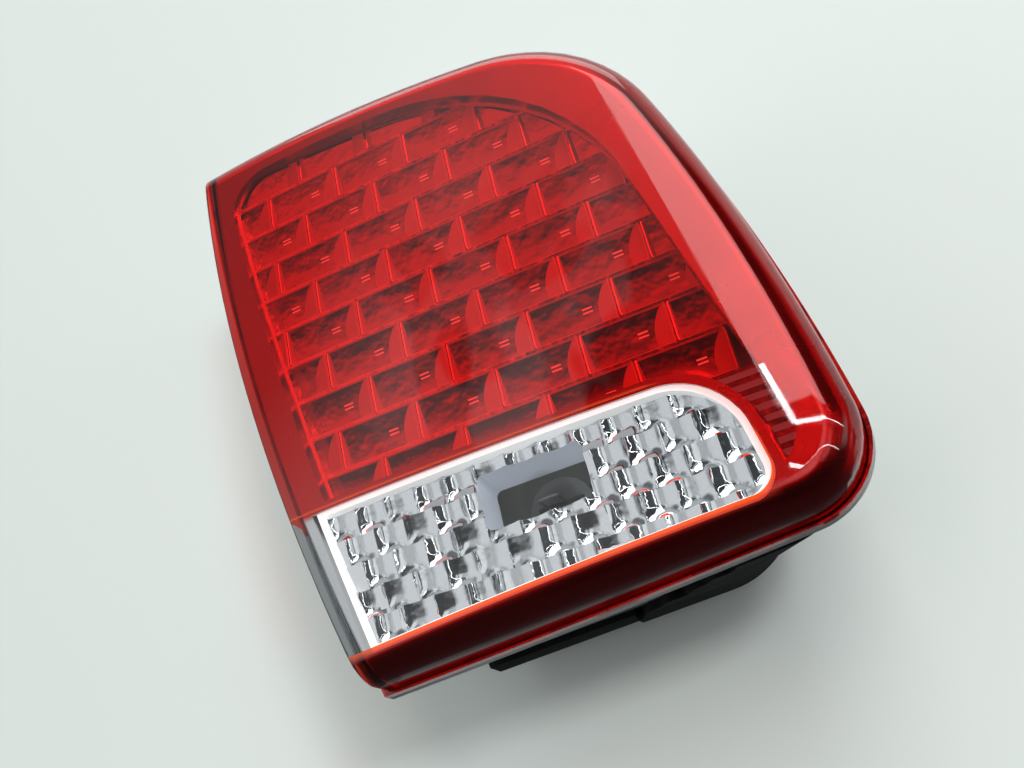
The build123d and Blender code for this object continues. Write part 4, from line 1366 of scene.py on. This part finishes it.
# %% Band round the flutes
band = boolean(prism("band", window_loop(reverse_insets), lens_front, reverse_back),
               domed_block(trim_inset, reverse_back), "INTERSECT")
boolean(band, prism("bowl", bowl_loop, lens_front - cut_room, bowl_back), "DIFFERENCE")
finish(band, "band", white_satin_painted_glow)
reverse_skin = joined("reverse_reflector_skin", (flutes, band))
dress(reverse_skin, "plated_mirror", "reverse_reflector")
print("reversing reflector faces:", len(reverse_skin.data.polygons))

# %% [markdown]
# ## Studs
# The four studs are pressed into the housing and carry an M6 thread. A thread could be a profile swept
# along a helix. But it is one ridge wound round a rod, so the radius of each point simply follows from
# its height and its angle, and the end fades into a chamfer. One stud is made and set at its four places
# by the same group as the LEDs.

# %% Threaded studs
stud_spacing = (56.0, 92.0)
stud_radius = 3.0
stud_length = 18.0
stud_grip = 15.5
collar_radius = 7.0
collar_height = 2.5
collar_chamfer = 0.4
thread_pitch = 1.0
thread_depth = 0.55
thread_columns = 32
thread_steps = 8
end_chamfer = 0.8


def stud_ring(y, radius):
    """A ring of points round the axis of a stud."""
    angles = np.arange(thread_columns) * 2 * np.pi / thread_columns
    return np.column_stack((radius * np.cos(angles), np.full(thread_columns, y), radius * np.sin(angles)))


def thread_radius(y):
    """Radius of the thread round the stud at a height, cut back near the end."""
    turns = y / thread_pitch - np.arange(thread_columns) / thread_columns
    ridge = np.abs(2 * (turns - np.floor(turns)) - 1)
    crest = stud_radius - max(0.0, y - stud_length + end_chamfer)
    return np.minimum(stud_radius - thread_depth * ridge, crest)


stud_rings = [stud_ring(-stud_grip, stud_radius), stud_ring(-collar_height, stud_radius)]
stud_rings += [stud_ring(-collar_height, collar_radius), stud_ring(-collar_chamfer, collar_radius)]
stud_rings += [stud_ring(0.0, collar_radius - collar_chamfer)]
for y in np.linspace(0.0, stud_length, int(stud_length / thread_pitch * thread_steps) + 1):
    stud_rings.append(stud_ring(y, thread_radius(y)))
stud = closed_rings("stud", stud_rings)
half_x, half_z = stud_spacing[0] / 2, stud_spacing[1] / 2
stud_places = [(x, 0, z) for x in (-half_x, half_x) for z in (-half_z, half_z)]
studs = piece("mounting_stud_threads", stud_places, [])
grown_by(studs, spots, {"Part": stud, "Material": zinc_steel})
bpy.data.objects.remove(stud)
dress(studs, "zinc_steel", "mounting_studs")
print("studs:", len(stud_places), "faces:", len(studs.data.polygons))

# %% [markdown]
# ## Pieces that keep their packed form
# Plain parts need no new shape, only a finish and clean shading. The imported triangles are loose, so each
# part is copied, merged and shaded smooth, with its real edges left sharp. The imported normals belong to
# the loose triangles and would shade the merged ones wrongly, so they go. The copy then stands for the
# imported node.

# %% Smooth copies
copy_merge_distance = 0.001


def merged_copy(name, material):
    """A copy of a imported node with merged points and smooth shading."""
    shape = bmesh.new()
    shape.from_mesh(nodes[name].data)
    bmesh.ops.remove_doubles(shape, verts=shape.verts, dist=copy_merge_distance * MM)
    mesh = bpy.data.meshes.new(name + "_skin")
    shape.to_mesh(mesh)
    shape.free()
    if "custom_normal" in mesh.attributes:
        mesh.attributes.remove(mesh.attributes["custom_normal"])
    smooth(mesh)
    mesh.materials.append(material)
    return placed(name + "_skin", mesh)


plain_pieces = (
    ("housing", grey_abs, "housing_plastic"),
    ("reflector_screws", zinc_steel, "zinc_steel"),
    ("bulb_holder", holder_nylon, "holder_plastic"),
    ("holder_seal", seal_silicone, "seal_rubber"),
    ("holder_terminals", brass, "brass_contact"),
    ("connector_shell", dark_nylon, "connector_plastic"),
    ("connector_pins", brass, "brass_contact"),
    ("vent_cap", black_rubber, "vent_rubber"),
    ("lens_sealant", black_butyl, "butyl"),
    ("led_board", board_mask, "circuit_board"),
    ("bulb_glass", bulb_glass, "bulb_glass"),
    ("bulb_filament", tungsten, "tungsten"),
)
for name, material, slot in plain_pieces:
    dress(merged_copy(name, material), slot, name)
print("smooth copies:", len(plain_pieces))

# %% [markdown]
# ## Foam gasket
# The gasket is a ring of foam with a pad that wraps the lower right corner of the tub. The pad was torn
# to fit by hand, so its front edge wanders. Moving its points would crease the flat faces round the edge,
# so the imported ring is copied, and a tool with a wavy edge takes the torn bits off.

# %% Foam gasket
tear_line = ((6.0, -6.0), (46.0, -40.0))
tear_depth = 2.6
tear_waves = (9.0, 17.0)
tear_points = 90
tear_front = -70.0
tear_heights = (-110.0, -40.0)


def torn_edge():
    """Points (x, y) of the wandering front edge of the pad, from its left end to the right."""
    (x0, y0), (x1, y1) = tear_line
    points = []
    for share in np.linspace(0.0, 1.0, tear_points):
        x = x0 + (x1 - x0) * share
        wave = sum(math.sin(2 * math.pi * x / length + length) for length in tear_waves)
        points.append((x, y0 + (y1 - y0) * share + tear_depth * (1 + wave / 2)))
    return points


torn = torn_edge()
torn += [(torn[-1][0], tear_front), (torn[0][0], tear_front)]
tool_points = [(x, y, z) for z in tear_heights for x, y in torn]
count = len(torn)
tool_faces = ring_faces(count, 2) + [tuple(range(count)), tuple(range(count, 2 * count))]
torn_tool = piece("torn_tool", tool_points, tool_faces)
foam = boolean(merged_copy("body_gasket", black_foam), torn_tool, "DIFFERENCE")
finish(foam, "foam_gasket", black_foam)
dress(foam, "foam", "body_gasket")
print("foam faces:", len(foam.data.polygons))
